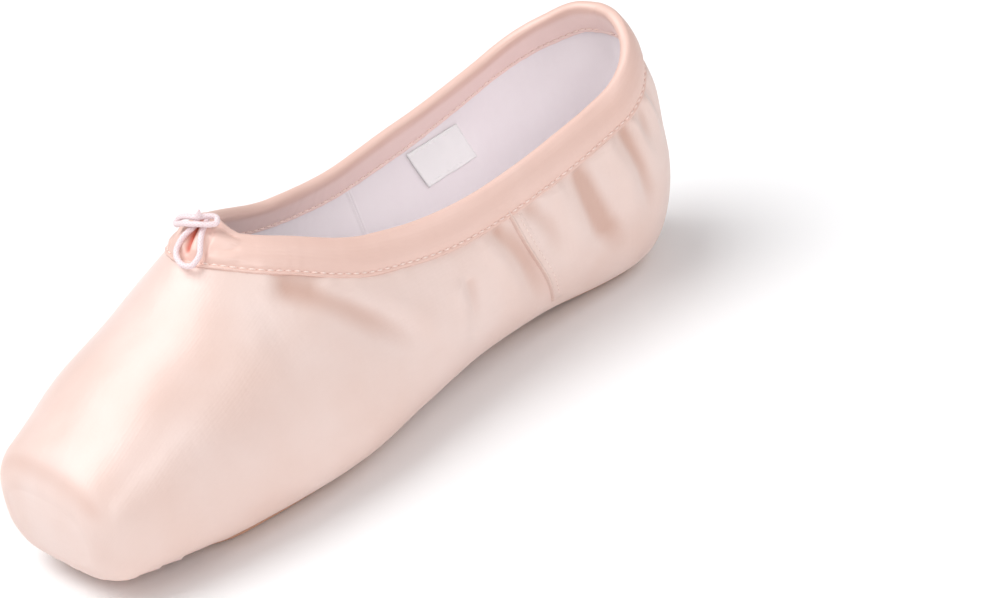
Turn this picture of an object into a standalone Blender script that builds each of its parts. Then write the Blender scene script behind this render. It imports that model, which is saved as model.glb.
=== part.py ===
"""Pointe shoe, standing empty on its sole.

Toe towards -Y, heel towards +Y, floor at Z = 0, left and right halves alike about X = 0.
The upper is one hollow piece worked out from a table of sections; the sole, the insole,
the binding, the side seams and the label all read the same table.
"""
import bpy
import numpy as np

for old in list(bpy.data.objects):
    bpy.data.objects.remove(old, do_unlink=True)

MM = 0.001
TINY = 1e-6
QUARTER = np.pi / 2

# Main sizes of the shoe
LENGTH = 225.0 * MM
BALL_HALF = 37.5 * MM
HEEL_HEIGHT = 73.0 * MM
ARCH_LIFT = 4.0 * MM
BOX_WALL = 3.2 * MM
PLATFORM_EDGE = 7.0 * MM
PLATFORM_DOME = 1.0 * MM
HEEL_RADIUS = 0.85 * BALL_HALF
HEEL_PIVOT = LENGTH - HEEL_RADIUS
PATH_END = HEEL_PIVOT + HEEL_RADIUS * QUARTER
THROAT = 0.30 * LENGTH

# Gaps and thicknesses
GAP = 0.3 * MM
OUTSOLE_THICK = 2.4 * MM
OUTSOLE_EDGE_THICK = 1.3 * MM
OUTSOLE_SKIVE = 5.0 * MM
FLAT_DEPTH = 0.2 * MM
OUTSOLE_SEAT = OUTSOLE_THICK + GAP
LASTING_MARGIN = 6.0 * MM
INSOLE_THICK = 1.8 * MM
INSOLE_GAP = 0.4 * MM
BINDING_DROP = 10.0 * MM
BINDING_INNER_DROP = 9.0 * MM
BINDING_GAP = 0.48 * MM
BINDING_INNER_SLACK = 0.25 * MM
BINDING_LEAF = 0.6 * MM
BINDING_PUFF = 0.6 * MM
BINDING_OVER = 1.0 * MM
SEAM_WIDTH = 3.2 * MM
SEAM_THICK = 0.6 * MM
LABEL_THICK = 0.4 * MM
CORD_DIAMETER = 1.6 * MM

# One row per section, from the toe platform to the back of the heel.
# along: share of LENGTH, measured on round the heel.  half_width: share of BALL_HALF.
# lift: share of ARCH_LIFT above the outsole's seat.  widest, ridge: shares of HEEL_HEIGHT
# above the bottom and above the floor.  crown: power of the curve over the top.
# flat, tuck: powers of the curve across the bottom and up the lower side.
# wall: share of BOX_WALL.
SECTION_COLUMNS = (
    "along", "half_width", "lift", "widest", "ridge", "crown", "flat", "tuck", "wall",
)
SECTIONS = (
    (0.00, 0.67, 0.80, 0.20, 0.51, 2.6, 4.0, 2.6, 1.00),
    (0.05, 0.76, 0.45, 0.20, 0.59, 2.5, 4.3, 2.4, 1.00),
    (0.12, 0.87, 0.12, 0.21, 0.72, 2.3, 4.6, 2.2, 0.95),
    (0.20, 0.95, 0.00, 0.21, 0.83, 2.1, 4.8, 2.1, 0.80),
    (0.26, 0.99, 0.00, 0.21, 0.95, 1.8, 4.8, 2.1, 0.60),
    (0.30, 1.00, 0.00, 0.21, 1.03, 1.6, 4.8, 2.1, 0.50),
    (0.36, 0.99, 0.05, 0.21, 1.07, 1.6, 4.8, 2.0, 0.45),
    (0.47, 0.91, 0.45, 0.22, 1.06, 1.7, 4.6, 1.9, 0.45),
    (0.59, 0.83, 0.90, 0.24, 1.01, 2.3, 4.6, 1.8, 0.45),
    (0.70, 0.81, 0.75, 0.28, 1.01, 3.0, 5.0, 1.6, 0.45),
    (0.86, 0.85, 0.00, 0.36, 1.10, 2.4, 6.0, 1.3, 0.45),
    (0.97, 0.85, 0.00, 0.40, 1.24, 2.3, 6.0, 1.3, 0.45),
    (1.09, 0.85, 0.00, 0.43, 1.38, 2.3, 6.0, 1.3, 0.45),
)

# Height of the collar's edge, share of HEEL_HEIGHT, from the throat back round the heel.
COLLAR_COLUMNS = ("along", "height")
COLLAR = (
    (0.30, 1.03),
    (0.36, 0.95),
    (0.47, 0.81),
    (0.59, 0.76),
    (0.70, 0.78),
    (0.86, 0.85),
    (0.97, 0.94),
    (1.05, 1.00),
    (1.09, 1.00),
)

# Half width of the outsole before its ends are rounded, share of BALL_HALF.
OUTSOLE_COLUMNS = ("along", "half_width")
OUTSOLE = (
    (0.10, 0.52),
    (0.18, 0.66),
    (0.30, 0.72),
    (0.40, 0.64),
    (0.50, 0.42),
    (0.58, 0.33),
    (0.66, 0.37),
    (0.74, 0.47),
    (0.86, 0.51),
)
OUTSOLE_TIP = 0.107 * LENGTH
OUTSOLE_END = 0.96 * LENGTH
OUTSOLE_ROUND = 18.0 * MM
OPENING_TIP = OUTSOLE_TIP + LASTING_MARGIN
OPENING_END = OUTSOLE_END - LASTING_MARGIN
INSOLE_TIP = 0.06 * LENGTH
INSOLE_END = 0.94 * LENGTH
INSOLE_ROUND = 20.0 * MM
INSOLE_SHARE = 0.58

# Side seam: its place along the shoe at the binding and near the sole
SEAM_TOP_ALONG = 0.650 * LENGTH
SEAM_LOW_ALONG = 0.712 * LENGTH
SEAM_LOW_ANGLE = -0.85
SEAM_BOW = 0.65
SEAM_CLEAR = 1.2 * MM
SEAM_ROWS = 14

# Label on the inside of one quarter, leaning back towards its lower edge
LABEL_FROM = 0.71 * LENGTH
LABEL_WIDTH = 21.0 * MM
LABEL_LEAN = 6.0 * MM
LABEL_TOP = 0.645 * HEEL_HEIGHT
LABEL_LOW = 0.45 * HEEL_HEIGHT

# Drawstring at the throat, each row in cord diameters.
# across: from the middle line.  back: behind the throat.  above: over the binding.
CORD_COLUMNS = ("across", "back", "above")
CORD_BAR = (
    (-2.7, -0.75, 0.75),
    (-1.2, -0.75, 1.10),
    (0.4, -0.45, 1.20),
    (1.6, 0.2, 1.15),
    (2.6, 1.0, 1.0),
    (3.2, 2.0, 0.9),
    (2.6, 2.8, 0.9),
    (1.8, 2.4, 1.0),
    (1.0, 1.5, 1.2),
    (-0.3, 0.85, 1.25),
    (-1.8, 0.5, 1.15),
    (-2.9, 0.45, 0.85),
)
CORD_LOOP = (
    (-0.6, 1.9, 0.0),
    (-0.1, 0.8, 0.0),
    (0.3, -0.2, 0.0),
    (0.0, -1.2, 0.0),
    (-0.3, -2.4, 0.0),
    (-0.15, -3.7, 0.1),
    (0.9, -4.9, 0.1),
    (2.6, -5.4, 0.1),
    (4.1, -4.6, 0.1),
    (4.15, -3.2, 0.1),
    (3.2, -1.8, 0.1),
    (2.3, -0.7, 0.0),
    (1.7, 0.3, 0.0),
    (1.5, 1.3, 0.0),
    (0.9, 2.2, 0.0),
)
CORD_TIP = (
    (0.5, 1.15, 1.95),
    (0.45, 1.3, 2.6),
    (0.4, 1.5, 3.3),
)
CORD_STEPS = 2

# Mesh steps
PROFILE_STEPS = 16
HEEL_STEPS = 8
EDGE_STEPS = 4
TOE_STEPS = 4
VAMP_STEPS = 8
VAMP_BUNCH = 1.5
RAY_STEPS = 10
COLLAR_STEPS = 18
COLLAR_BUNCH = 2.0
SOLE_ROWS = 22
SOLE_SHARES = (0.0, 0.28, 0.55, 0.80, 1.0)
DISC_SHARES = (0.0, 0.4, 0.75, 1.0)
LABEL_ROWS = 4
LABEL_STEPS = 5

# Linear colours, roughness
SATIN = (0.86, 0.66, 0.58, 1.0)
BINDING_SATIN = (0.80, 0.56, 0.47, 1.0)
LEATHER = (0.67, 0.40, 0.26, 1.0)
BOARD = (0.72, 0.68, 0.70, 1.0)
WHITE_CLOTH = (0.86, 0.86, 0.86, 1.0)
CORD_PINK = (0.83, 0.66, 0.68, 1.0)


def smooth_curve(places, values, x):
    """Smooth curve through values at their places, never past them."""
    step = np.diff(places)
    rise = np.diff(values) / step
    slope = np.zeros_like(values)
    slope[0], slope[-1] = rise[0], rise[-1]
    for i in range(1, len(values) - 1):
        if rise[i - 1] * rise[i] > 0:
            ahead = 2 * step[i] + step[i - 1]
            behind = step[i] + 2 * step[i - 1]
            slope[i] = (ahead + behind) / (ahead / rise[i - 1] + behind / rise[i])
    x = np.clip(x, places[0], places[-1])
    i = np.clip(np.searchsorted(places, x) - 1, 0, len(step) - 1)
    t = (x - places[i]) / step[i]
    start = (2 * t**3 - 3 * t**2 + 1) * values[i] + (t**3 - 2 * t**2 + t) * step[i] * slope[i]
    return start + (3 * t**2 - 2 * t**3) * values[i + 1] + (t**3 - t**2) * step[i] * slope[i + 1]


def read_table(rows, columns, name, path):
    """Named column of a table at a place along the path."""
    table = np.array(rows)
    return smooth_curve(table[:, 0], table[:, columns.index(name)], np.asarray(path) / LENGTH)


def section(name, path):
    """Column of SECTIONS at a place along the path."""
    return read_table(SECTIONS, SECTION_COLUMNS, name, path)


def form(path):
    """Half width, bottom, widest height and ridge height of the closed last."""
    half = section("half_width", path) * BALL_HALF
    bottom = OUTSOLE_SEAT + section("lift", path) * ARCH_LIFT
    widest = bottom + section("widest", path) * HEEL_HEIGHT
    ridge = section("ridge", path) * HEEL_HEIGHT
    reach = np.clip(PLATFORM_EDGE - np.asarray(path), 0, PLATFORM_EDGE)
    inset = PLATFORM_EDGE - np.sqrt(PLATFORM_EDGE**2 - reach**2)
    return half - inset, bottom + 0.8 * inset, widest, ridge - inset


def power(value, exponent):
    """Signed power."""
    return np.sign(value) * np.abs(value) ** exponent


def last_point(path, angle):
    """Point of the closed last; angle runs from -90 under the sole to 90 at the ridge."""
    path, angle = np.broadcast_arrays(np.asarray(path, float), np.asarray(angle, float))
    half, bottom, widest, ridge = form(path)
    cos, sin = np.cos(angle), np.sin(angle)
    crown, flat, tuck = section("crown", path), section("flat", path), section("tuck", path)
    over = angle >= 0
    reach = half * power(cos, np.where(over, 2 / crown, 2 / flat))
    above = (ridge - widest) * power(sin, 2 / crown)
    below = (widest - bottom) * power(sin, 2 / tuck)
    turn = np.clip((path - HEEL_PIVOT) / HEEL_RADIUS, 0, QUARTER)
    along = np.minimum(path, HEEL_PIVOT) + reach * np.sin(turn)
    height = widest + np.where(over, above, below)
    return np.stack([reach * np.cos(turn), along - LENGTH / 2, height], -1)


def bottom_height(x, y):
    """Height of the last's underside over a place on the floor."""
    back = np.clip(y + LENGTH / 2 - HEEL_PIVOT, 0, None)
    turn = np.arctan2(back, np.abs(x) + 1e-12)
    path = np.minimum(y + LENGTH / 2, HEEL_PIVOT) + HEEL_RADIUS * np.where(back > 0, turn, 0)
    half, bottom, widest, _ = form(path)
    share = np.clip(np.hypot(x, back) / half, 0, 0.98)
    depth = (1 - share ** section("flat", path)) ** (1 / section("tuck", path))
    return widest - (widest - bottom) * depth


def angle_at(path, height):
    """Profile angle of the last's upper part at a height above the floor."""
    _, _, widest, ridge = form(path)
    share = np.clip((height - widest) / (ridge - widest), 0, 1)
    return np.arcsin(share ** (section("crown", path) / 2))


def collar_height(path):
    """Height of the collar's edge above the floor."""
    return read_table(COLLAR, COLLAR_COLUMNS, "height", path) * HEEL_HEIGHT


def collar_angle(path):
    """Profile angle of the collar's edge; the ridge itself in front of the throat."""
    return np.where(np.asarray(path) <= THROAT, QUARTER, angle_at(path, collar_height(path)))


def slopes(path, angle):
    """How the last's surface runs along the path and up the profile."""
    step = 2e-4
    along = (last_point(path + step, angle) - last_point(path - step, angle)) / (2 * step)
    up = (last_point(path, angle + step) - last_point(path, angle - step)) / (2 * step)
    return along, up


def outward(path, angle):
    """Outward unit normal of the last."""
    along, up = slopes(path, angle)
    normal = np.cross(along, up)
    return normal / np.linalg.norm(normal, axis=-1, keepdims=True)


def off_last(path, angle, offset):
    """Point of the last moved out along its normal."""
    path, angle, offset = np.broadcast_arrays(path, angle, offset)
    point = last_point(path, angle) + outward(path, angle) * offset[..., None]
    point[np.abs(point) < TINY] = 0
    return point


def wall(path):
    """Thickness of the upper's wall."""
    return section("wall", path) * BOX_WALL


def rounded(path, tip, reach):
    """Share of the full width near a rounded tip."""
    return np.sqrt(np.clip(1 - np.clip((tip + reach - path) / reach, 0, 1) ** 2, 0, 1))


def outsole_side(path):
    """Half width of the outsole before its ends are rounded."""
    return read_table(OUTSOLE, OUTSOLE_COLUMNS, "half_width", path) * BALL_HALF


def outsole_half(path):
    """Half width of the outsole up to the heel's pivot."""
    return outsole_side(path) * rounded(path, OUTSOLE_TIP, OUTSOLE_ROUND)


def opening_reach(path):
    """Distance from the middle line, or the heel's pivot, to the opening's edge underneath."""
    side = outsole_side(path) - LASTING_MARGIN
    turn = np.clip((path - HEEL_PIVOT) / HEEL_RADIUS, 0, QUARTER)
    back = OPENING_END - HEEL_PIVOT
    round_back = side * back / np.hypot(back * np.cos(turn), side * np.sin(turn))
    round_tip = side * rounded(path, OPENING_TIP, OUTSOLE_ROUND - LASTING_MARGIN)
    return np.where(turn > 0, round_back, round_tip)


def opening_angle(path):
    """Profile angle of the opening's edge underneath."""
    half = form(path)[0]
    share = np.clip(opening_reach(path) / half, 0, 1)
    angle = -np.arccos(share ** (section("flat", path) / 2))
    return np.where(np.asarray(path) <= OPENING_TIP, -QUARTER, angle)


def spread(start, end, steps, bunch=1.0):
    """Places from start to end, closer together near the start; start itself left out."""
    return start + (end - start) * np.linspace(0, 1, steps + 1)[1:] ** bunch


def stations():
    """Places of the sections the upper is drawn through."""
    edge = PLATFORM_EDGE * (1 - np.cos(np.linspace(0, QUARTER, EDGE_STEPS + 1)))
    toe = spread(PLATFORM_EDGE, OPENING_TIP, TOE_STEPS)
    vamp = spread(OPENING_TIP, THROAT, VAMP_STEPS, VAMP_BUNCH)
    return np.concatenate([edge, toe, vamp, collar_stations()])


def collar_stations():
    """Places behind the throat, round to the back of the heel."""
    sides = spread(THROAT, HEEL_PIVOT, COLLAR_STEPS, COLLAR_BUNCH)
    return np.concatenate([sides, spread(HEEL_PIVOT, PATH_END, HEEL_STEPS)])


class Shell:
    """Collects faces over shared points."""

    def __init__(self):
        self.points = []
        self.index = {}
        self.faces = []

    def vertex(self, point):
        key = tuple(int(round(value * 1e8)) for value in point)
        if key not in self.index:
            self.index[key] = len(self.points)
            self.points.append(tuple(float(value) for value in point))
        return self.index[key]

    def face(self, corners, flip=False):
        ring = []
        for corner in corners:
            vertex = self.vertex(corner)
            if vertex not in ring:
                ring.append(vertex)
        if len(ring) > 2:
            self.faces.append(tuple(reversed(ring)) if flip else tuple(ring))

    def patch(self, grid, flip=False):
        rows, columns = grid.shape[:2]
        for i in range(rows - 1):
            for j in range(columns - 1):
                self.face((grid[i, j], grid[i + 1, j], grid[i + 1, j + 1], grid[i, j + 1]), flip)

    def both_sides(self, grid, flip=False):
        self.patch(grid, flip)
        self.patch(grid * (-1, 1, 1), not flip)

    def finish(self, name, colour, roughness, smooth=True):
        mesh = bpy.data.meshes.new(name)
        mesh.from_pydata(self.points, [], self.faces)
        mesh.validate()
        solid = bpy.data.objects.new(name, mesh)
        bpy.context.scene.collection.objects.link(solid)
        paint(solid, colour, roughness)
        for polygon in mesh.polygons:
            polygon.use_smooth = smooth
        return solid


def paint(solid, colour, roughness):
    """Material of its own for a piece."""
    material = bpy.data.materials.new(solid.name)
    material.use_nodes = True
    surface = material.node_tree.nodes["Principled BSDF"]
    surface.inputs["Base Color"].default_value = colour
    surface.inputs["Roughness"].default_value = roughness
    surface.inputs["Metallic"].default_value = 0.0
    solid.data.materials.append(material)


def make_upper():
    """Satin over the stiffened box: outer face, inner face, and the two rims between them."""
    path = stations()
    low, high = opening_angle(path), collar_angle(path)
    steps = np.linspace(0, 1, PROFILE_STEPS + 1)
    angle = low[:, None] + (high - low)[:, None] * steps
    outer = off_last(path[:, None], angle, 0.0)
    inner = off_last(path[:, None], angle, -wall(path)[:, None])
    inner[outer[..., 0] == 0, 0] = 0
    shell = Shell()
    shares = np.array(DISC_SHARES)[:, None, None]
    faces = ((outer, -PLATFORM_DOME, False), (inner, BOX_WALL - PLATFORM_DOME, True))
    for grid, depth, flip in faces:
        shell.both_sides(grid, flip)
        rim = grid[0]
        centre = np.array([0.0, -LENGTH / 2 + depth, rim[:, 2].mean()])
        disc = centre + (rim - centre) * shares
        disc[..., 1] = rim[:, 1] + (centre[1] - rim[:, 1]) * (1 - shares[..., 0] ** 2)
        shell.both_sides(disc, flip)
    sole_rim = path >= OPENING_TIP - TINY
    collar_rim = path >= THROAT - TINY
    shell.both_sides(np.stack([inner[sole_rim, 0], outer[sole_rim, 0]], 1))
    shell.both_sides(np.stack([outer[collar_rim, -1], inner[collar_rim, -1]], 1))
    return shell.finish("upper", SATIN, 0.35)


def collar_rays():
    """Rays over the last down from the collar's edge, square to it, and how each sets off."""
    path = np.concatenate([[THROAT], collar_stations()])
    angle = collar_angle(path)
    edge = last_point(path, angle)
    run = np.gradient(edge, axis=0)
    run[0], run[-1] = (1, 0, 0), (-1, 0, 0)
    run /= np.linalg.norm(run, axis=1, keepdims=True)
    step = BINDING_DROP / RAY_STEPS
    paths, angles, downs = [path], [angle], []
    for _ in range(RAY_STEPS):
        along, up = slopes(path, angle)
        down = np.cross(run, np.cross(along, up))
        down /= np.linalg.norm(down, axis=1, keepdims=True)
        downs.append(down)
        a, b, c = (along * along).sum(1), (along * up).sum(1), (up * up).sum(1)
        p, q = (along * down).sum(1) * step, (up * down).sum(1) * step
        det = a * c - b * b
        path = path + (p * c - q * b) / det
        angle = angle + (q * a - p * b) / det
        paths.append(path)
        angles.append(angle)
    return np.stack(paths, 1), np.stack(angles, 1), downs[0]


def make_binding():
    """Folded satin band that wraps the collar's edge, puffed by the cord inside it."""
    path, angle, down = collar_rays()
    normal = outward(path[:, 0], angle[:, 0])
    leaf, puff = BINDING_GAP + BINDING_LEAF, BINDING_PUFF
    inner_end = BINDING_INNER_DROP / BINDING_DROP
    outer_face = (
        (1.0, BINDING_GAP),
        (1.0, leaf),
        (0.8, leaf + 0.8 * puff),
        (0.5, leaf + puff),
        (0.2, leaf + 0.8 * puff),
    )
    inner_face = (
        (0.2, leaf + 0.6 * puff),
        (0.4, leaf + 0.6 * puff),
        (inner_end, leaf),
        (inner_end, BINDING_GAP),
        (0.4, BINDING_GAP),
        (0.2, BINDING_GAP),
    )

    def place(share, offset, inside):
        column = int(round(share * RAY_STEPS))
        ray_path, ray_angle = path[:, column], angle[:, column]
        depth = wall(ray_path) + BINDING_INNER_SLACK + offset
        return off_last(ray_path, ray_angle, -depth if inside else offset)

    def over(rise, reach, share):
        half_wall = wall(path[:, 0])[:, None] / 2
        middle = last_point(path[:, 0], angle[:, 0]) - normal * half_wall
        return middle - down * rise + normal * (half_wall + reach) * share

    ring = [place(share, offset, False) for share, offset in outer_face]
    shoulder, crest = BINDING_GAP + 0.75 * BINDING_OVER, BINDING_GAP + BINDING_OVER
    ring.append(place(0.0, leaf, False))
    ring += [over(shoulder, leaf, 0.6), over(crest, leaf, 0.0), over(shoulder, leaf, -0.6)]
    ring.append(place(0.0, leaf, True))
    ring += [place(share, offset, True) for share, offset in inner_face]
    ring += [over(BINDING_GAP, BINDING_GAP, side) for side in (-1.0, 1.0)]
    ring += [place(share, BINDING_GAP, False) for share in (0.2, 0.5, 0.8)]
    ring.append(ring[0])
    grid = np.stack(ring, 1)
    grid[np.abs(grid) < TINY] = 0
    grid[[0, -1], :, 0] = 0
    shell = Shell()
    shell.both_sides(grid)
    return shell.finish("binding", BINDING_SATIN, 0.4)


def plate(name, tip, end, half, top, under, colour, roughness):
    """Plate between two heights over an outline that comes to a point at each end."""
    turn = np.linspace(0, np.pi, SOLE_ROWS + 1)
    rows = tip + (end - tip) * (1 - np.cos(turn)) / 2
    shell = Shell()
    across = np.array(SOLE_SHARES) * half(rows)[:, None]
    along = np.broadcast_to(rows[:, None], across.shape) - LENGTH / 2
    upper_face = np.stack([across, along, top(across, along)], -1)
    under_face = np.stack([across, along, under(across, along)], -1)
    shell.both_sides(upper_face, True)
    shell.both_sides(under_face)
    shell.both_sides(np.stack([under_face[:, -1], upper_face[:, -1]], 1))
    return shell.finish(name, colour, roughness)


def heel_rounded(rows, half, end):
    """Half width brought to nothing round the heel."""
    back = np.clip((rows - HEEL_PIVOT) / (end - HEEL_PIVOT), 0, 1)
    return half * np.sqrt(1 - back**2)


def make_outsole():
    """Leather sole, skived along its edge, with a flat spot under the ball and one under the heel."""

    def half(rows):
        return heel_rounded(rows, outsole_half(rows), OUTSOLE_END)

    def top(x, y):
        return bottom_height(x, y) - GAP

    def under(x, y):
        rows = y + LENGTH / 2
        ends = np.minimum(rows - OUTSOLE_TIP, OUTSOLE_END - rows)
        inside = np.minimum(half(rows) - np.abs(x), ends)
        skive = np.clip(inside / OUTSOLE_SKIVE, 0, 1)
        thick = OUTSOLE_EDGE_THICK + (OUTSOLE_THICK + FLAT_DEPTH - OUTSOLE_EDGE_THICK) * skive
        return np.maximum(top(x, y) - thick, 0)

    return plate("outsole", OUTSOLE_TIP, OUTSOLE_END, half, top, under, LEATHER, 0.6)


def make_insole():
    """Board that closes the inside, lying on the turned-in edge of the upper."""

    def half(rows):
        side = section("half_width", rows) * BALL_HALF * INSOLE_SHARE
        return heel_rounded(rows, side * rounded(rows, INSOLE_TIP, INSOLE_ROUND), INSOLE_END)

    def under(x, y):
        return bottom_height(x, y) + wall(y + LENGTH / 2) + INSOLE_GAP

    def top(x, y):
        return under(x, y) + INSOLE_THICK

    return plate("insole", INSOLE_TIP, INSOLE_END, half, top, under, BOARD, 0.8)


def slab(path, angle, near, thick, side, name, colour, roughness):
    """Thin piece lying along the last; a thickness below nought goes inwards."""
    sign = np.array([side, 1, 1])
    low = off_last(path, angle, near) * sign
    high = off_last(path, angle, near + thick) * sign
    flip = side * thick < 0
    shell = Shell()
    shell.patch(high, flip)
    shell.patch(low, not flip)
    edges = (
        (low[0], high[0]),
        (low[::-1, 0], high[::-1, 0]),
        (low[-1, ::-1], high[-1, ::-1]),
        (low[:, -1], high[:, -1]),
    )
    for edge_low, edge_high in edges:
        shell.patch(np.stack([edge_low, edge_high], 0), flip)
    return shell.finish(name, colour, roughness)


def make_side_seam(name, side):
    """Raised fold where a quarter joins the vamp."""
    t = np.linspace(0, 1, SEAM_ROWS + 1)[:, None]
    middle = SEAM_TOP_ALONG + (SEAM_LOW_ALONG - SEAM_TOP_ALONG) * t**SEAM_BOW
    top = collar_height(SEAM_TOP_ALONG) - BINDING_DROP - SEAM_CLEAR
    start = angle_at(SEAM_TOP_ALONG, top)
    across = np.array([-0.5, 0.0, 0.5]) * SEAM_WIDTH
    grid_angle = np.broadcast_to(start + (SEAM_LOW_ANGLE - start) * t, (SEAM_ROWS + 1, 3))
    return slab(middle + across, grid_angle, GAP, SEAM_THICK, side, name, SATIN, 0.4)


def make_label():
    """Bare white tag sewn inside one quarter."""
    down = np.linspace(0, 1, LABEL_ROWS + 1)[:, None]
    across = np.linspace(0, 1, LABEL_STEPS + 1)
    path = LABEL_FROM + LABEL_WIDTH * across + LABEL_LEAN * down
    angle = angle_at(path, LABEL_TOP + (LABEL_LOW - LABEL_TOP) * down)
    near = -wall(path) - GAP
    return slab(path, angle, near, -LABEL_THICK, -1, "label", WHITE_CLOTH, 0.8)


def make_cord(name, rows):
    """Round cord through chosen places on the binding."""
    table = np.array(rows) * CORD_DIAMETER
    reach = np.concatenate([[0], np.cumsum(np.linalg.norm(np.diff(table, axis=0), axis=1))])
    count = CORD_STEPS * (len(rows) - 1) + 1
    even = np.linspace(0, reach[-1], count)
    across, back, above = (
        smooth_curve(reach, table[:, CORD_COLUMNS.index(name)], even) for name in CORD_COLUMNS
    )
    path = THROAT + back
    share = np.clip(np.abs(across) / form(path)[0], 0, 1)
    angle = np.arccos(share ** (section("crown", path) / 2))
    seat = BINDING_GAP + BINDING_LEAF + BINDING_PUFF + CORD_DIAMETER / 2
    points = off_last(path, angle, seat + above)
    points[:, 0] *= np.where(across < 0, -1, 1)
    curve = bpy.data.curves.new(name, "CURVE")
    curve.dimensions = "3D"
    curve.bevel_depth = CORD_DIAMETER / 2
    curve.bevel_resolution = 2
    curve.use_fill_caps = True
    line = curve.splines.new("POLY")
    line.points.add(len(points) - 1)
    for place, point in zip(line.points, points):
        place.co = (*point, 1.0)
    solid = bpy.data.objects.new(name, curve)
    bpy.context.scene.collection.objects.link(solid)
    paint(solid, CORD_PINK, 0.6)
    return solid


make_upper()
make_outsole()
make_insole()
make_binding()
make_side_seam("side_seam_left", -1)
make_side_seam("side_seam_right", 1)
make_label()
make_cord("cord_bar", CORD_BAR)
make_cord("cord_loop", CORD_LOOP)
make_cord("cord_tip", CORD_TIP)
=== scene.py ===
import math

import bpy
import numpy as np
from mathutils import Matrix, Vector


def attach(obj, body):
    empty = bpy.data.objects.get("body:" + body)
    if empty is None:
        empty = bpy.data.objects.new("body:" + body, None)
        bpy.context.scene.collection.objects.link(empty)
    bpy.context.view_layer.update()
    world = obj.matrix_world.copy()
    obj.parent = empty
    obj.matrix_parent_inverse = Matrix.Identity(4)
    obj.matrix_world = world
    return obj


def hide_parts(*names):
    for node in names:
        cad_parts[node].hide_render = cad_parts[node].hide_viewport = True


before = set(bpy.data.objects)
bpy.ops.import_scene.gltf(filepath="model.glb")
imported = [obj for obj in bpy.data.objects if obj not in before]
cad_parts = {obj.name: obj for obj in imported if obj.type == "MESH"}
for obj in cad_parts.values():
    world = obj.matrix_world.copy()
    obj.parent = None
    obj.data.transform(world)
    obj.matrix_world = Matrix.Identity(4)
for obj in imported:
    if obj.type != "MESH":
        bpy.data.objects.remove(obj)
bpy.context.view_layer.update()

MM = 0.001
QUARTER = math.pi / 2
# Slack when two places along the path are compared
NEAR = 1e-6

# Camera over the photograph: degrees, metres, share of the frame's width
CAMERA_AZIMUTH = 52.54
CAMERA_ELEVATION = 28.5
CAMERA_ROLL = -12.46
CAMERA_DISTANCE = 0.810
CAMERA_TARGET = (0.03445, 0.02214, 0.02831)
CAMERA_FOCAL = 2.93239
SENSOR_WIDTH = 36.0

# Main sizes of the shoe, as in the part's source
LENGTH = 225.0 * MM
BALL_HALF = 37.5 * MM
HEEL_HEIGHT = 73.0 * MM
ARCH_LIFT = 4.0 * MM
BOX_WALL = 3.2 * MM
PLATFORM_EDGE = 7.0 * MM
PLATFORM_DOME = 1.0 * MM
HEEL_RADIUS = 0.85 * BALL_HALF
HEEL_PIVOT = LENGTH - HEEL_RADIUS
PATH_END = HEEL_PIVOT + HEEL_RADIUS * QUARTER
THROAT = 0.30 * LENGTH
GAP = 0.3 * MM
OUTSOLE_THICK = 2.4 * MM
OUTSOLE_EDGE_THICK = 1.3 * MM
OUTSOLE_SKIVE = 5.0 * MM
FLAT_DEPTH = 0.2 * MM
OUTSOLE_SEAT = OUTSOLE_THICK + GAP
LASTING_MARGIN = 6.0 * MM
INSOLE_THICK = 1.8 * MM
INSOLE_GAP = 0.4 * MM
BINDING_DROP = 10.0 * MM
BINDING_GAP = 0.48 * MM
CORD_DIAMETER = 1.6 * MM

# Table of the last: share of LENGTH along the path, shares of BALL_HALF, ARCH_LIFT and HEEL_HEIGHT,
# exponents of the profile, share of BOX_WALL. Then collar and outsole: share of LENGTH, share of
# HEEL_HEIGHT or of BALL_HALF.
SECTION_COLUMNS = ("along", "half_width", "lift", "widest", "ridge", "crown", "flat", "tuck", "wall")
SECTIONS = (
    (0.00, 0.67, 0.80, 0.20, 0.51, 2.6, 4.0, 2.6, 1.00),
    (0.05, 0.76, 0.45, 0.20, 0.59, 2.5, 4.3, 2.4, 1.00),
    (0.12, 0.87, 0.12, 0.21, 0.72, 2.3, 4.6, 2.2, 0.95),
    (0.20, 0.95, 0.00, 0.21, 0.83, 2.1, 4.8, 2.1, 0.80),
    (0.26, 0.99, 0.00, 0.21, 0.95, 1.8, 4.8, 2.1, 0.60),
    (0.30, 1.00, 0.00, 0.21, 1.03, 1.6, 4.8, 2.1, 0.50),
    (0.36, 0.99, 0.05, 0.21, 1.07, 1.6, 4.8, 2.0, 0.45),
    (0.47, 0.91, 0.45, 0.22, 1.06, 1.7, 4.6, 1.9, 0.45),
    (0.59, 0.83, 0.90, 0.24, 1.01, 2.3, 4.6, 1.8, 0.45),
    (0.70, 0.81, 0.75, 0.28, 1.01, 3.0, 5.0, 1.6, 0.45),
    (0.86, 0.85, 0.00, 0.36, 1.10, 2.4, 6.0, 1.3, 0.45),
    (0.97, 0.85, 0.00, 0.40, 1.24, 2.3, 6.0, 1.3, 0.45),
    (1.09, 0.85, 0.00, 0.43, 1.38, 2.3, 6.0, 1.3, 0.45),
)
COLLAR = (
    (0.30, 1.03), (0.36, 0.95), (0.47, 0.81), (0.59, 0.76), (0.70, 0.78),
    (0.86, 0.85), (0.97, 0.94), (1.05, 1.00), (1.09, 1.00),
)
OUTSOLE = (
    (0.10, 0.52), (0.18, 0.66), (0.30, 0.72), (0.40, 0.64), (0.50, 0.42),
    (0.58, 0.33), (0.66, 0.37), (0.74, 0.47), (0.86, 0.51),
)
OUTSOLE_TIP = 0.107 * LENGTH
OUTSOLE_END = 0.96 * LENGTH
OUTSOLE_ROUND = 18.0 * MM
OPENING_TIP = OUTSOLE_TIP + LASTING_MARGIN
OPENING_END = OUTSOLE_END - LASTING_MARGIN
INSOLE_TIP = 0.06 * LENGTH
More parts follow.
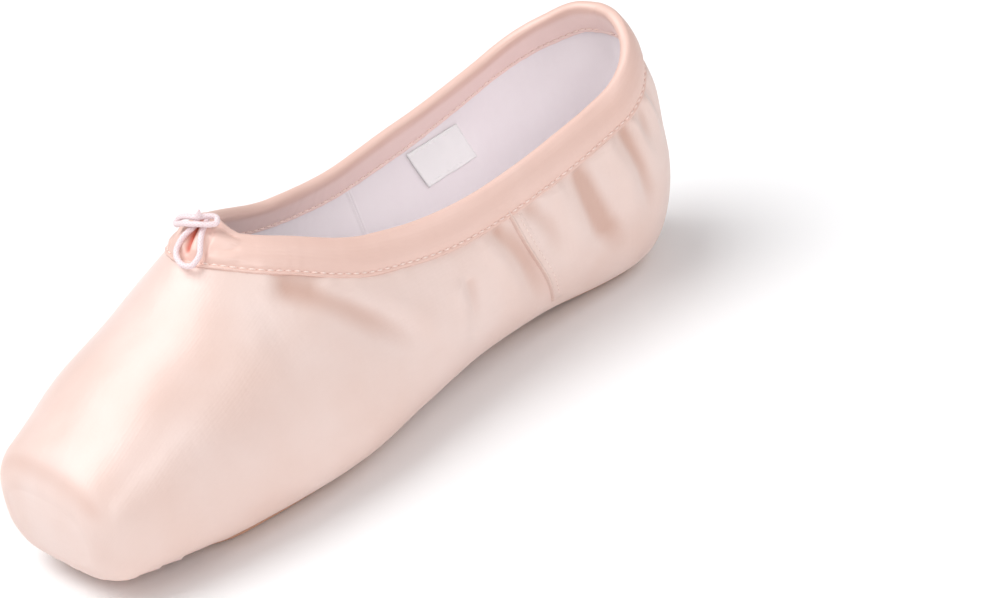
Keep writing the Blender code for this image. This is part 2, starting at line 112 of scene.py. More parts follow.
INSOLE_END = 0.94 * LENGTH
INSOLE_ROUND = 20.0 * MM
INSOLE_SHARE = 0.58

# Tag inside the far quarter
LABEL_FROM = 0.71 * LENGTH
LABEL_WIDTH = 21.0 * MM
LABEL_LEAN = 6.0 * MM
LABEL_TOP = 0.645 * HEEL_HEIGHT
LABEL_LOW = 0.45 * HEEL_HEIGHT
LABEL_DEPTH = 14.7 * MM
LABEL_THICK = 0.35 * MM
LABEL_GAP = 0.35 * MM
LABEL_HEM = 0.12 * MM
LABEL_LIFT = 0.25 * MM
LABEL_WAVE = 0.05 * MM

# Sewn joins of the lining: top and lean as shares of LENGTH, start below the collar, last angle
JOIN_TOP = 0.600 * LENGTH
JOIN_LEAN = 0.055
JOIN_DROP = 5.5 * MM
JOIN_LOW_ANGLE = -0.75
JOIN_HALF = 1.1 * MM
JOIN_LIFT = 0.12 * MM
JOIN_SHAPE = ((-1.0, 0.0), (-0.5, 0.22), (-0.1, 0.26), (0.0, 0.06), (0.1, 0.26), (0.5, 0.22), (1.0, 0.0))

# Folds of the satin. side: 1 near, -1 far.  height: mm, troughs below nought.
# start, end: half widths in mm at the two ends.  places: (share of LENGTH, profile angle).
FOLDS = (
    (1, -1.40, 3.2, 6.2, ((0.318, 0.95), (0.351, 0.80), (0.375, 0.73), (0.403, 0.61),
     (0.432, 0.47), (0.458, 0.33), (0.485, 0.13), (0.492, 0.01))),
    (1, 1.12, 2.8, 5.2, ((0.366, 0.80), (0.389, 0.74), (0.425, 0.60), (0.466, 0.41),
     (0.504, 0.17), (0.521, 0.04))),
    (1, 0.85, 2.6, 4.0, ((0.552, 0.30), (0.552, 0.18), (0.552, 0.11), (0.547, 0.08),
     (0.537, 0.02), (0.528, -0.20))),
    (1, -0.95, 2.2, 3.8, ((0.572, 0.26), (0.566, 0.10), (0.559, 0.06), (0.550, 0.04), (0.540, -0.15))),
    (1, 1.00, 3.0, 5.0, ((0.602, 0.38), (0.618, 0.22), (0.630, 0.10), (0.640, -0.10), (0.648, -0.50))),
    (1, -1.40, 2.2, 3.8, ((0.624, 0.46), (0.636, 0.31), (0.647, 0.20), (0.659, 0.10),
     (0.671, 0.01), (0.678, -0.26), (0.692, -0.83))),
    (1, -1.05, 1.9, 4.0, ((0.680, 0.40), (0.686, 0.31), (0.698, 0.22), (0.710, 0.14),
     (0.719, 0.06), (0.722, 0.02), (0.721, -0.30))),
    (1, 0.96, 2.5, 5.0, ((0.730, 0.42), (0.733, 0.32), (0.740, 0.20), (0.745, 0.11),
     (0.753, 0.04), (0.764, -0.15), (0.769, -0.38))),
    (1, -1.82, 1.9, 4.8, ((0.776, 0.46), (0.776, 0.37), (0.777, 0.29), (0.781, 0.22),
     (0.788, 0.09), (0.800, -0.03), (0.812, -0.31), (0.826, -0.62), (0.836, -0.85))),
    (1, 1.36, 2.5, 5.8, ((0.818, 0.45), (0.824, 0.37), (0.833, 0.27), (0.843, 0.17),
     (0.846, 0.08), (0.848, 0.01), (0.852, -0.30), (0.856, -0.55))),
    (1, -1.61, 1.6, 4.5, ((0.858, 0.52), (0.862, 0.43), (0.866, 0.36), (0.870, 0.28),
     (0.875, 0.19), (0.881, 0.11), (0.881, 0.03), (0.878, -0.30), (0.874, -0.60))),
    (1, 0.96, 1.5, 3.5, ((0.876, 0.50), (0.879, 0.42), (0.885, 0.33), (0.890, 0.23),
     (0.896, 0.13), (0.899, -0.05))),
    (1, -1.12, 1.2, 3.5, ((0.896, 0.52), (0.898, 0.45), (0.905, 0.34), (0.907, 0.25), (0.911, 0.12))),
    (1, 0.88, 1.4, 3.0, ((0.915, 0.54), (0.918, 0.46), (0.926, 0.36), (0.937, 0.24), (0.942, 0.10))),
    (1, -0.91, 1.4, 3.5, ((0.937, 0.55), (0.941, 0.45), (0.952, 0.34), (0.964, 0.20), (0.972, 0.02))),
    (1, 0.72, 1.5, 3.5, ((0.972, 0.56), (0.982, 0.42), (0.990, 0.24), (0.994, 0.08))),
    (1, -0.70, 1.5, 3.8, ((1.020, 0.60), (1.024, 0.42), (1.022, 0.18), (1.020, 0.04))),
    (-1, -1.19, 3.2, 6.2, ((0.322, 0.92), (0.368, 0.74), (0.430, 0.45), (0.478, 0.18), (0.500, -0.04))),
    (-1, 0.96, 2.8, 5.2, ((0.384, 0.74), (0.430, 0.54), (0.470, 0.32), (0.515, 0.08))),
    (-1, -0.70, 2.0, 3.8, ((0.578, 0.26), (0.570, 0.10), (0.562, -0.16))),
    (-1, -1.40, 2.2, 3.8, ((0.624, 0.46), (0.636, 0.31), (0.659, 0.10), (0.671, 0.01),
     (0.678, -0.26), (0.692, -0.83))),
    (-1, 0.88, 2.5, 4.5, ((0.700, 0.40), (0.712, 0.22), (0.722, 0.02), (0.728, -0.30))),
    (-1, -1.61, 2.0, 5.0, ((0.748, 0.46), (0.754, 0.28), (0.764, 0.08), (0.778, -0.18), (0.790, -0.42))),
    (-1, 1.20, 2.5, 5.5, ((0.792, 0.46), (0.802, 0.26), (0.814, 0.06), (0.822, -0.28))),
    (-1, -1.40, 1.6, 4.5, ((0.834, 0.50), (0.844, 0.30), (0.854, 0.10), (0.858, -0.20))),
    (-1, 0.96, 1.5, 3.8, ((0.862, 0.52), (0.874, 0.30), (0.884, 0.08))),
    (-1, -1.19, 1.4, 4.0, ((0.888, 0.54), (0.902, 0.32), (0.914, 0.12), (0.914, -0.10))),
    (-1, 0.88, 1.4, 3.5, ((0.922, 0.56), (0.938, 0.34), (0.950, 0.12))),
    (-1, -0.91, 1.4, 3.8, ((0.956, 0.60), (0.974, 0.38), (0.984, 0.14))),
    (-1, 0.72, 1.5, 3.8, ((0.998, 0.62), (1.010, 0.42), (1.016, 0.20))),
    (-1, -0.70, 1.5, 3.8, ((1.042, 0.62), (1.050, 0.44), (1.052, 0.20))),
)
FOLD_STEPS = 24
FOLD_REACH = 2.6
TROUGH_BREADTH = 1.45

# Satin: rows over the platform's edge, then end, steps and bunching of each stretch along the path
EDGE_ROWS = 13
SATIN_ROWS = ((0.16 * LENGTH, 40, 1.0), (THROAT, 40, 1.0), (HEEL_PIVOT, 165, 1.3), (PATH_END, 62, 1.0))
SATIN_COLUMNS = 117
SATIN_SWELL = 0.60 * MM
SATIN_THICK = 0.25 * MM
SATIN_WAVE = 0.10 * MM
MIDDLE_BLEND = 4.0 * MM
# Painted shade line over the platform's upper edge: strength, place along the path, half width
EDGE_SHADE = 0.26
EDGE_SHADE_PLACE = 2.6 * MM
EDGE_SHADE_WIDTH = 1.7 * MM
# Puckers under the binding: height, how much higher on the quarters, how far down they fade,
# then their waves: length in mm, height, phase, phase that turns with the side
PUCKER_HEIGHT = 0.20 * MM
PUCKER_GAIN = 0.32 * MM
PUCKER_REACH = 3.6 * MM
PUCKERS = ((1.15, 0.5, 0.0, 1.0), (0.83, 0.35, 2.0, 0.0), (2.1, 0.5, 0.0, 0.0))

# Lining: rows, columns, then room under the satin, thickness and unevenness
LINING_EDGE_ROWS = 5
LINING_ROWS = ((THROAT, 26, 1.0), (HEEL_PIVOT, 60, 1.5), (PATH_END, 22, 1.0))
LINING_COLUMNS = 49
LINING_ROOM = 0.50 * MM
LINING_THICK = 0.15 * MM
LINING_WAVE = 0.14 * MM

# Creases of the binding beside the knot. height: mm, troughs below nought.  width: mm.
# places: (mm from the middle line, mm behind the throat).
THROAT_CREASES = (
    (-0.60, 0.9, ((4.6, 0.4), (7.2, 2.8), (10.2, 5.6))),
    (0.50, 0.9, ((6.0, -0.8), (8.8, 1.8), (11.0, 5.0))),
    (-0.45, 0.9, ((6.9, -2.6), (9.7, 0.0), (11.8, 4.0))),
    (0.30, 0.9, ((7.4, -4.2), (11.0, -1.4), (13.6, 2.6))),
    (-0.55, 0.6, ((5.4, -1.0), (6.6, -3.2), (7.6, -5.4))),
)

# Pleats that gather the satin under the toe: where they fan from, how many, over which turn, how
# deep, how high they reach, where they fade, where a lap tucks under the next, and their uneven
# bends: size, times round, phase
PLEAT_CENTRE = OUTSOLE_TIP + 12.0 * MM
PLEAT_COUNT = 11
PLEAT_SPAN = math.radians(172)
PLEAT_DEPTH = 1.15 * MM
PLEAT_TOP = 8.0 * MM
PLEAT_FADE = (24.0 * MM, 46.0 * MM)
PLEAT_TURN = 0.84
PLEAT_BENDS = ((0.035, 9.0, 0.0), (0.02, 23.0, 1.0))

# Binding: steps of the rays down from the collar's edge, rows down its two leaves and over its crest
RAY_STEPS = 10
OUTER_SHARES = (*np.linspace(1.0, 0.86, 9), *np.linspace(0.84, 0.04, 21))
INNER_SHARES = (*np.linspace(0.05, 0.72, 9), *np.linspace(0.745, 0.90, 8))
ROOF_STEPS = 9
# Binding's cross-section: share of its drop, offset in mm
OUTER_LEAF = (
    (0.00, 1.05), (0.08, 1.30), (0.20, 1.55), (0.35, 1.68), (0.50, 1.66), (0.65, 1.45),
    (0.76, 1.12), (0.83, 0.82), (0.87, 0.60), (0.885, 0.55), (0.90, 0.62), (0.93, 0.86),
    (0.965, 0.88), (0.99, 0.66), (1.00, 0.30),
)
INNER_LEAF = (
    (0.00, 1.05), (0.12, 1.15), (0.35, 1.05), (0.55, 0.92), (0.68, 0.70), (0.755, 0.45),
    (0.785, 0.42), (0.82, 0.58), (0.86, 0.58), (0.90, 0.25),
)
COVER_GAP = 0.05 * MM
BINDING_CREST = 1.5 * MM
STITCH_SHARE = 0.885
INNER_STITCH_SHARE = 0.770
# Slit at the throat, and the peak that the band rises to over it
SLIT_HALF = 0.95 * MM
SLIT_REACH = 8.0 * MM
SLIT_LEAN = 3.4 * MM
PEAK_RISE = 4.6 * MM
PEAK_REACH = 13.0 * MM
# Lips of the slit: height, and their place and half width in half widths of the slit
LIP_HEIGHT = 0.35 * MM
LIP_PLACE = 2.3
LIP_WIDTH = 1.2
# Where the gathers are full, from the throat on, and how far the crest's sides stand off the wall
LIP_SOFT = 2.4 * MM
CREST_REACH = 1.05 * MM
# Gathers across it: length in mm, height, phase, phase that turns with the side
GATHERS = ((0.53, 0.5, 0.0, 0.7), (0.71, 0.5, 1.3, 0.0), (1.31, 0.6, 0.0, 1.0))
SLOW_GATHERS = ((3.7, 0.5, 0.0, 1.0), (6.1, 0.5, 0.0, 2.0))

# Stitches: pitch, length, half thickness
BINDING_STITCH = (2.5 * MM, 1.7 * MM, 0.27 * MM)
SEAM_STITCH = (1.9 * MM, 1.2 * MM, 0.17 * MM)
TAG_STITCH = (1.9 * MM, 1.3 * MM, 0.13 * MM)
# How far the binding's thread lies out, and where its rows begin from the throat
THREAD_LIFT = 0.1 * MM
STITCH_SKIP = 5.0 * MM

# Side seam: its width, then its front edge from under the binding down: share of LENGTH, height in mm
SEAM_WIDTH = 3.0 * MM
SEAM_LINE = (
    (0.6500, 54.4), (0.6525, 51.0), (0.6560, 47.0), (0.6635, 40.5), (0.6735, 34.0),
    (0.6850, 27.0), (0.6960, 19.5), (0.7035, 13.0),
)
SEAM_STEPS = 81
# Painted shade along the raised front of the side seam's fold
SEAM_SHADE = 0.10
SEAM_RIPPLE = 0.12 * MM
SEAM_UNDER = 0.2 * MM
# Where its stitches run, as a share of its width, and how far they lie out
SEAM_SEWN = 0.93
SEAM_THREAD_LIFT = 0.12 * MM
# Side seam's fold across: share of its width back from the edge, offset in mm
SEAM_SHAPE = (
    (-0.10, -0.10), (-0.04, 0.30), (0.0, 0.68), (0.05, 0.98), (0.12, 1.10), (0.19, 0.98), (0.26, 0.62),
    (0.33, 0.36), (0.50, 0.28), (0.80, 0.20), (0.93, 0.10), (1.08, 0.13), (1.3, 0.05), (1.6, -0.12),
)

# Leather sole and sock. The mark of the sole's top says mm from its edge, past every groove.
EDGE_BULGE = 0.18 * MM
TOP_MARK = 9.0
STAMP_DEPTH = 0.03 * MM
# Plain four-petal flowers pressed round the sole: distance from the toe platform as a share of
# LENGTH, distance in from the sole's edge in mm, turn in degrees
FLOWERS = (
    (0.190, 9.5, 20), (0.235, 9.5, 35), (0.280, 9.5, 10), (0.325, 9.5, 40), (0.370, 9.5, 25),
    (0.150, 9.5, 45), (0.905, 9.5, 15), (0.860, 9.5, 40), (0.815, 9.5, 5),
)
MIDDLE_FLOWERS = ((0.135, 0.0), (0.935, 45.0))
PETAL_LENGTH = 2.4 * MM
PETAL_WIDTH = 0.80 * MM
PETAL_GAP = 0.5 * MM
SOCK_ROUND = 0.5 * MM
SOCK_WAVE = 0.12 * MM

# Drawstring, in cord diameters: across, back from the throat, above the binding
LOOP_ROUTE = (
    (-0.9, 2.3, -0.35), (-0.3, 1.0, -0.25), (0.2, -0.2, -0.15), (0.0, -1.2, 0.0), (-0.3, -2.4, 0.0),
    (-0.15, -3.7, 0.1), (0.9, -4.9, 0.1), (2.6, -5.4, 0.1), (4.1, -4.6, 0.1), (4.15, -3.2, 0.1),
    (3.2, -1.8, 0.1), (2.3, -0.7, 0.0), (1.7, 0.3, -0.1), (1.4, 1.3, -0.2), (0.7, 2.4, -0.35),
)
KNOT_ROUTE = (
    (-2.3, -0.70, 0.95), (-1.0, -0.70, 1.20), (0.5, -0.45, 1.30), (1.7, 0.2, 1.25),
    (2.6, 1.0, 1.15), (3.2, 2.0, 1.05), (2.6, 2.7, 1.15), (1.7, 2.0, 1.35),
    (0.9, 0.9, 1.55), (-0.2, 0.25, 1.65), (-1.5, 0.05, 1.55), (-2.4, -0.05, 1.30),
    (-2.9, -0.40, 1.0),
)
TIP_ROUTE = ((0.8, 0.75, 1.4), (1.05, 0.9, 2.1), (1.2, 1.05, 2.7), (1.3, 1.2, 3.4))
CORD_SEAT = BINDING_GAP + 1.2 * MM + CORD_DIAMETER / 2
CORD_SIDES = 14
# Short end: how much thicker it starts than the cord, and how much of it goes towards its tip
TIP_SWELL = 0.05
TIP_TAPER = 0.65

# Studio: the surrounding's strength, then lamps: name, place and size in metres, watts, tint
WORLD_STRENGTH = 0.29
LAMPS = (
    ("key", (-0.90, -0.80, 2.20), (2.2, 2.2), 60.0, (1.0, 1.0, 1.0)),
    ("side", (1.90, -0.70, 1.25), (0.8, 0.8), 16.5, (1.0, 1.0, 1.0)),
    ("heel", (1.20, 0.90, 1.70), (1.0, 1.0), 6.0, (1.0, 0.99, 0.985)),
)

# Colours: light, deep, and the painted shade put into folds, the throat's slit and shaded edges
SATIN_COLOURS = ((0.87, 0.69, 0.635, 1), (0.83, 0.62, 0.55, 1), (0.55, 0.27, 0.18, 1))
BINDING_COLOURS = ((0.86, 0.60, 0.525, 1), (0.82, 0.55, 0.47, 1), (0.66, 0.10, 0.045, 1))
THREAD_COLOURS = ((0.97, 0.79, 0.72, 1), (0.94, 0.72, 0.65, 1), (0.8, 0.5, 0.4, 1))
# Painted light: paler colour that the binding's inner leaf takes so that it looks lit
INNER_PAINTED_LIGHT = (0.97, 0.74, 0.69, 1)
LINING_COLOURS = ((0.965, 0.92, 0.94, 1), (0.94, 0.885, 0.91, 1))
SOCK_COLOURS = ((0.84, 0.80, 0.82, 1), (0.77, 0.72, 0.75, 1))
TAG_COLOURS = ((0.985, 0.985, 0.985, 1), (0.965, 0.965, 0.97, 1))
# Painted shade: dark beads standing for the shade in the needle holes
HOLE_SHADE_COLOURS = ((0.70, 0.42, 0.34, 1), (0.62, 0.34, 0.27, 1))
STAMP_COLOURS = ((0.44, 0.18, 0.10, 1), (0.52, 0.24, 0.14, 1))
# Radians by which a wave texture turns over a unit of length at scale 1
WAVE_TURN = 20.0
# Pressed grooves of the sole, in mm from its edge
GROOVES = (4.7, 6.0)


def smooth_table(rows, column, x):
    """Smooth curve through one column of a table, never past its rows' values."""
    places = np.array([row[0] for row in rows])
    values = np.array([row[column] for row in rows])
    step = np.diff(places)
    rise = np.diff(values) / step
    slope = np.zeros_like(values)
    slope[0], slope[-1] = rise[0], rise[-1]
    for i in range(1, len(values) - 1):
        if rise[i - 1] * rise[i] > 0:
            ahead = 2 * step[i] + step[i - 1]
            behind = step[i] + 2 * step[i - 1]
            slope[i] = (ahead + behind) / (ahead / rise[i - 1] + behind / rise[i])
    x = np.clip(x, places[0], places[-1])
    i = np.clip(np.searchsorted(places, x) - 1, 0, len(step) - 1)
    t = (x - places[i]) / step[i]
    start = (2 * t**3 - 3 * t**2 + 1) * values[i] + (t**3 - 2 * t**2 + t) * step[i] * slope[i]
    return start + (3 * t**2 - 2 * t**3) * values[i + 1] + (t**3 - t**2) * step[i] * slope[i + 1]


def section(name, path):
    """Column of SECTIONS at a place along the path."""
    return smooth_table(SECTIONS, SECTION_COLUMNS.index(name), np.asarray(path) / LENGTH)


def form(path):
    """Half width, bottom, widest height and ridge height of the closed last."""
    half = section("half_width", path) * BALL_HALF
    bottom = OUTSOLE_SEAT + section("lift", path) * ARCH_LIFT
    widest = bottom + section("widest", path) * HEEL_HEIGHT
    ridge = section("ridge", path) * HEEL_HEIGHT
    reach = np.clip(PLATFORM_EDGE - np.asarray(path), 0, PLATFORM_EDGE)
    inset = PLATFORM_EDGE - np.sqrt(PLATFORM_EDGE**2 - reach**2)
    return half - inset, bottom + 0.8 * inset, widest, ridge - inset


def power(value, exponent):
    """Signed power."""
    return np.sign(value) * np.abs(value) ** exponent


def last_point(path, angle):
    """Point of the closed last; angle runs from under the sole over the side to the ridge."""
    path, angle = np.broadcast_arrays(np.asarray(path, float), np.asarray(angle, float))
    half, bottom, widest, ridge = form(path)
    cos, sin = np.cos(angle), np.sin(angle)
    crown, flat, tuck = section("crown", path), section("flat", path), section("tuck", path)
    over = angle >= 0
    reach = half * power(cos, np.where(over, 2 / crown, 2 / flat))
    above = (ridge - widest) * power(sin, 2 / crown)
    below = (widest - bottom) * power(sin, 2 / tuck)
    turn = np.clip((path - HEEL_PIVOT) / HEEL_RADIUS, 0, QUARTER)
    along = np.minimum(path, HEEL_PIVOT) + reach * np.sin(turn)
    height = widest + np.where(over, above, below)
    return np.stack([reach * np.cos(turn), along - LENGTH / 2, height], -1)


def bottom_height(x, y):
    """Height of the last's underside over a place on the floor."""
    back = np.clip(y + LENGTH / 2 - HEEL_PIVOT, 0, None)
    turn = np.arctan2(back, np.abs(x) + 1e-12)
    path = np.minimum(y + LENGTH / 2, HEEL_PIVOT) + HEEL_RADIUS * np.where(back > 0, turn, 0)
    half, bottom, widest, _ = form(path)
    share = np.clip(np.hypot(x, back) / half, 0, 0.98)
    depth = (1 - share ** section("flat", path)) ** (1 / section("tuck", path))
    return widest - (widest - bottom) * depth


def angle_at(path, height):
    """Profile angle of the last's upper part at a height above the floor."""
    _, _, widest, ridge = form(path)
    share = np.clip((height - widest) / (ridge - widest), 0, 1)
    return np.arcsin(share ** (section("crown", path) / 2))


def angle_across(path, across):
    """Profile angle of the last's upper part at a distance from the middle line."""
    share = np.clip(np.abs(across) / form(path)[0], 0, 1)
    return np.arccos(share ** (section("crown", path) / 2))


def collar_height(path):
    """Height of the collar's edge above the floor."""
    return smooth_table(COLLAR, 1, np.asarray(path) / LENGTH) * HEEL_HEIGHT


def collar_angle(path):
    """Profile angle of the collar's edge; the ridge itself in front of the throat."""
    return np.where(np.asarray(path) <= THROAT, QUARTER, angle_at(path, collar_height(path)))


def slopes(path, angle):
    """How the last's surface runs along the path and up the profile."""
    step = 2e-4
    along = (last_point(path + step, angle) - last_point(path - step, angle)) / (2 * step)
    up = (last_point(path, angle + step) - last_point(path, angle - step)) / (2 * step)
    return along, up


def outward(path, angle):
    """Outward unit normal of the last."""
    along, up = slopes(path, angle)
    normal = np.cross(along, up)
    return normal / np.linalg.norm(normal, axis=-1, keepdims=True)


def off_last(path, angle, offset):
    """Point of the last moved out along its normal."""
    path, angle, offset = np.broadcast_arrays(path, angle, offset)
    point = last_point(path, angle) + outward(path, angle) * offset[..., None]
    point[np.abs(point) < 1e-6] = 0
    return point


def wall(path):
    """Thickness of the upper's wall."""
    return section("wall", path) * BOX_WALL


def rounded(path, tip, reach):
    """Share of the full width near a rounded tip."""
    return np.sqrt(np.clip(1 - np.clip((tip + reach - path) / reach, 0, 1) ** 2, 0, 1))


def opening_reach(path):
    """Distance from the middle line, or from the heel's pivot, to the edge of the opening underneath."""
    side = smooth_table(OUTSOLE, 1, np.asarray(path) / LENGTH) * BALL_HALF - LASTING_MARGIN
    turn = np.clip((path - HEEL_PIVOT) / HEEL_RADIUS, 0, QUARTER)
    back = OPENING_END - HEEL_PIVOT
    round_back = side * back / np.hypot(back * np.cos(turn), side * np.sin(turn))
    return np.where(turn > 0, round_back, side * rounded(path, OPENING_TIP, OUTSOLE_ROUND - LASTING_MARGIN))


def opening_angle(path):
    """Profile angle of the opening's edge underneath."""
    half = form(path)[0]
    share = np.clip(opening_reach(path) / half, 0, 1)
    angle = -np.arccos(share ** (section("flat", path) / 2))
    return np.where(np.asarray(path) <= OPENING_TIP, -QUARTER, angle)


def spread(start, end, steps, bunch=1.0):
    """Places from start to end, closer together near the start; start itself left out."""
    return start + (end - start) * np.linspace(0, 1, steps + 1)[1:] ** bunch


def smooth_step(low, high, value):
    """0 below low, 1 above high, with soft ends."""
    share = np.clip((value - low) / (high - low), 0, 1)
    return share * share * (3 - 2 * share)


def girth(path, angle):
    """Distance over the surface from the ridge down to a profile angle."""
    steps = np.linspace(-QUARTER + 1e-4, QUARTER, 121)
    flat_path = np.atleast_1d(path)
    profile = last_point(flat_path[:, None], steps)
    pieces = np.linalg.norm(np.diff(profile, axis=1), axis=2)
    total = np.concatenate([np.zeros((len(flat_path), 1)), np.cumsum(pieces, axis=1)], axis=1)
    down = total[:, -1:] - total
    return np.stack([np.interp(angle[i], steps, down[i]) for i in range(len(flat_path))])


def run_length(points):
    """Distance along a line from its first point to each of its points."""
    return np.concatenate([[0], np.cumsum(np.linalg.norm(np.diff(points, axis=0), axis=1))])


def pair(first, second):
    """Two coordinates side by side over one grid."""
    return np.stack(np.broadcast_arrays(first, second), -1)


def through(reach, places, even):
    """Columns of a smooth curve through chosen places, at even distances."""
    return [smooth_table(list(zip(reach, column)), 1, even) for column in places.T]


def smooth_line(places, steps):
    """Even places on a smooth curve through chosen ones."""
    places = np.array(places, float)
    reach = run_length(places)
    return np.stack(through(reach, places, np.linspace(0, reach[-1], steps)), 1)


def near_line(points, line):
    """Distance of each point to a line, and the share of the line where it is nearest."""
    best = np.full(points.shape[:-1], np.inf)
    share = np.zeros(points.shape[:-1])
    reach = run_length(line)
    for i in range(len(line) - 1):
        run = line[i + 1] - line[i]
        t = np.clip(((points - line[i]) @ run) / (run @ run), 0, 1)
        gap = np.linalg.norm(points - line[i] - t[..., None] * run, axis=-1)
        closer = gap < best
        best = np.where(closer, gap, best)
        share = np.where(closer, (reach[i] + t * (reach[i + 1] - reach[i])) / reach[-1], share)
    return best, share


class Patchwork:
    """Collects grids of points with their own u, v and joins them where they meet."""

    def __init__(self):
        self.points, self.uvs, self.marks, self.quads = [], [], [], []
        self.count = 0

    def add(self, grid, uv=None, flip=False, mark=0.0):
        rows, columns = grid.shape[:2]
        uv = np.zeros((rows, columns, 2)) if uv is None else uv
        index = np.arange(rows * columns).reshape(rows, columns) + self.count
        quad = np.stack([index[:-1, :-1], index[1:, :-1], index[1:, 1:], index[:-1, 1:]], -1).reshape(-1, 4)
        self.quads.append(quad[:, ::-1] if flip else quad)
        self.points.append(grid.reshape(-1, 3))
        self.uvs.append(uv.reshape(-1, 2))
        self.marks.append(np.broadcast_to(mark, (rows, columns)).reshape(-1))
        self.count += rows * columns

    def close(self, front, back, flip):
        """Join two like grids along their four edges."""
        edges = ((front[0], back[0], flip), (front[-1], back[-1], not flip))
        sides = ((front[:, 0], back[:, 0], not flip), (front[:, -1], back[:, -1], flip))
        for near, far, turned in edges + sides:
            self.add(np.stack([near, far]), flip=turned)

    def finish(self, name, material, slot, *nodes):
        points = np.concatenate(self.points)
        uvs, marks = np.concatenate(self.uvs), np.concatenate(self.marks)
        quads = np.concatenate(self.quads)
        keys = np.round(points * 1e7).astype(np.int64)
        _, first, inverse = np.unique(keys, axis=0, return_index=True, return_inverse=True)
        inverse = inverse.reshape(-1)
        faces, corners = [], []
        for quad, joined in zip(quads.tolist(), inverse[quads].tolist()):
            ring, kept = [], []
            for corner, vertex in zip(quad, joined):
                if vertex not in ring:
                    ring.append(vertex)
                    kept.append(corner)
            if len(ring) > 2:
                faces.append(ring)
                corners.extend(kept)
        mesh = bpy.data.meshes.new(name)
        mesh.from_pydata(points[first].tolist(), [], faces)
        layer = mesh.uv_layers.new(name="UVMap")
        layer.data.foreach_set("uv", uvs[corners].reshape(-1))
        mark = mesh.attributes.new("mark", "FLOAT", "POINT")
        mark.data.foreach_set("value", marks[first])
        mesh.polygons.foreach_set("use_smooth", [True] * len(mesh.polygons))
        mesh.update()
        return place_piece(mesh, name, material, slot, *nodes)


def place_piece(data, name, material, slot, *nodes):
    """Piece in the scene with its material, riding on the shoe."""
    piece = bpy.data.objects.new(name, data)
    bpy.context.scene.collection.objects.link(piece)
    data.materials.append(material)
    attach(piece, "root")
    if nodes:
        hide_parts(*nodes)
    return piece


class Surface:
    """A material's nodes, added one at a time."""

    def __init__(self, name, **sockets):
        self.material = bpy.data.materials.new(name)
        self.material.use_nodes = True
        self.tree = self.material.node_tree
        self.shader = self.tree.nodes["Principled BSDF"]
        for socket, value in sockets.items():
            self.shader.inputs[socket.replace("_", " ")].default_value = value

    def node(self, kind, inputs=(), **settings):
        made = self.tree.nodes.new(kind)
        for key, value in settings.items():
            setattr(made, key, value)
        for key, value in dict(inputs).items():
            if isinstance(value, bpy.types.NodeSocket):
                self.tree.links.new(value, made.inputs[key])
            else:
                made.inputs[key].default_value = value
        return made

    def coordinates(self, which="Object"):
        return self.node("ShaderNodeTexCoord").outputs[which]

    def scaled(self, vector, scale):
        return self.node("ShaderNodeMapping", {"Vector": vector, "Scale": scale}).outputs["Vector"]

    def noise(self, vector, scale, detail=3.0, roughness=0.55):
        inputs = {"Vector": vector, "Scale": scale, "Detail": detail, "Roughness": roughness}
        return self.node("ShaderNodeTexNoise", inputs).outputs["Fac"]

    def wave(self, vector, scale, direction, distortion=0.0):
        inputs = {"Vector": vector, "Scale": scale, "Distortion": distortion}
        return self.node("ShaderNodeTexWave", inputs, bands_direction=direction).outputs["Fac"]

    def threads(self, uv, weave, direction, unevenness):
        """Ripples of a weave, which turn by a radian over its measure in metres."""
        return self.wave(uv, 1.0 / (WAVE_TURN * weave), direction, unevenness)

    def math(self, how, a, b=0.0):
        return self.node("ShaderNodeMath", {0: a, 1: b}, operation=how).outputs[0]

    def span(self, value, low, high, to_low=0.0, to_high=1.0):
        inputs = {"Value": value, "From Min": low, "From Max": high, "To Min": to_low, "To Max": to_high}
        return self.node("ShaderNodeMapRange", inputs).outputs["Result"]

    def blend(self, share, a, b):
        mixed = self.node("ShaderNodeMix", data_type="RGBA")
        for socket, value in ((0, share), (6, a), (7, b)):
            if isinstance(value, bpy.types.NodeSocket):
                self.tree.links.new(value, mixed.inputs[socket])
            else:
                mixed.inputs[socket].default_value = value
        return mixed.outputs[2]

    def mark(self):
        return self.node("ShaderNodeAttribute", attribute_name="mark").outputs["Fac"]

    def bump(self, height, distance, normal=None):
        inputs = {"Height": height, "Distance": distance, "Strength": 1.0}
        if normal is not None:
            inputs["Normal"] = normal
        return self.node("ShaderNodeBump", inputs).outputs["Normal"]

    def set(self, **links):
        for socket, value in links.items():
            self.tree.links.new(value, self.shader.inputs[socket.replace("_", " ")])
        return self.material


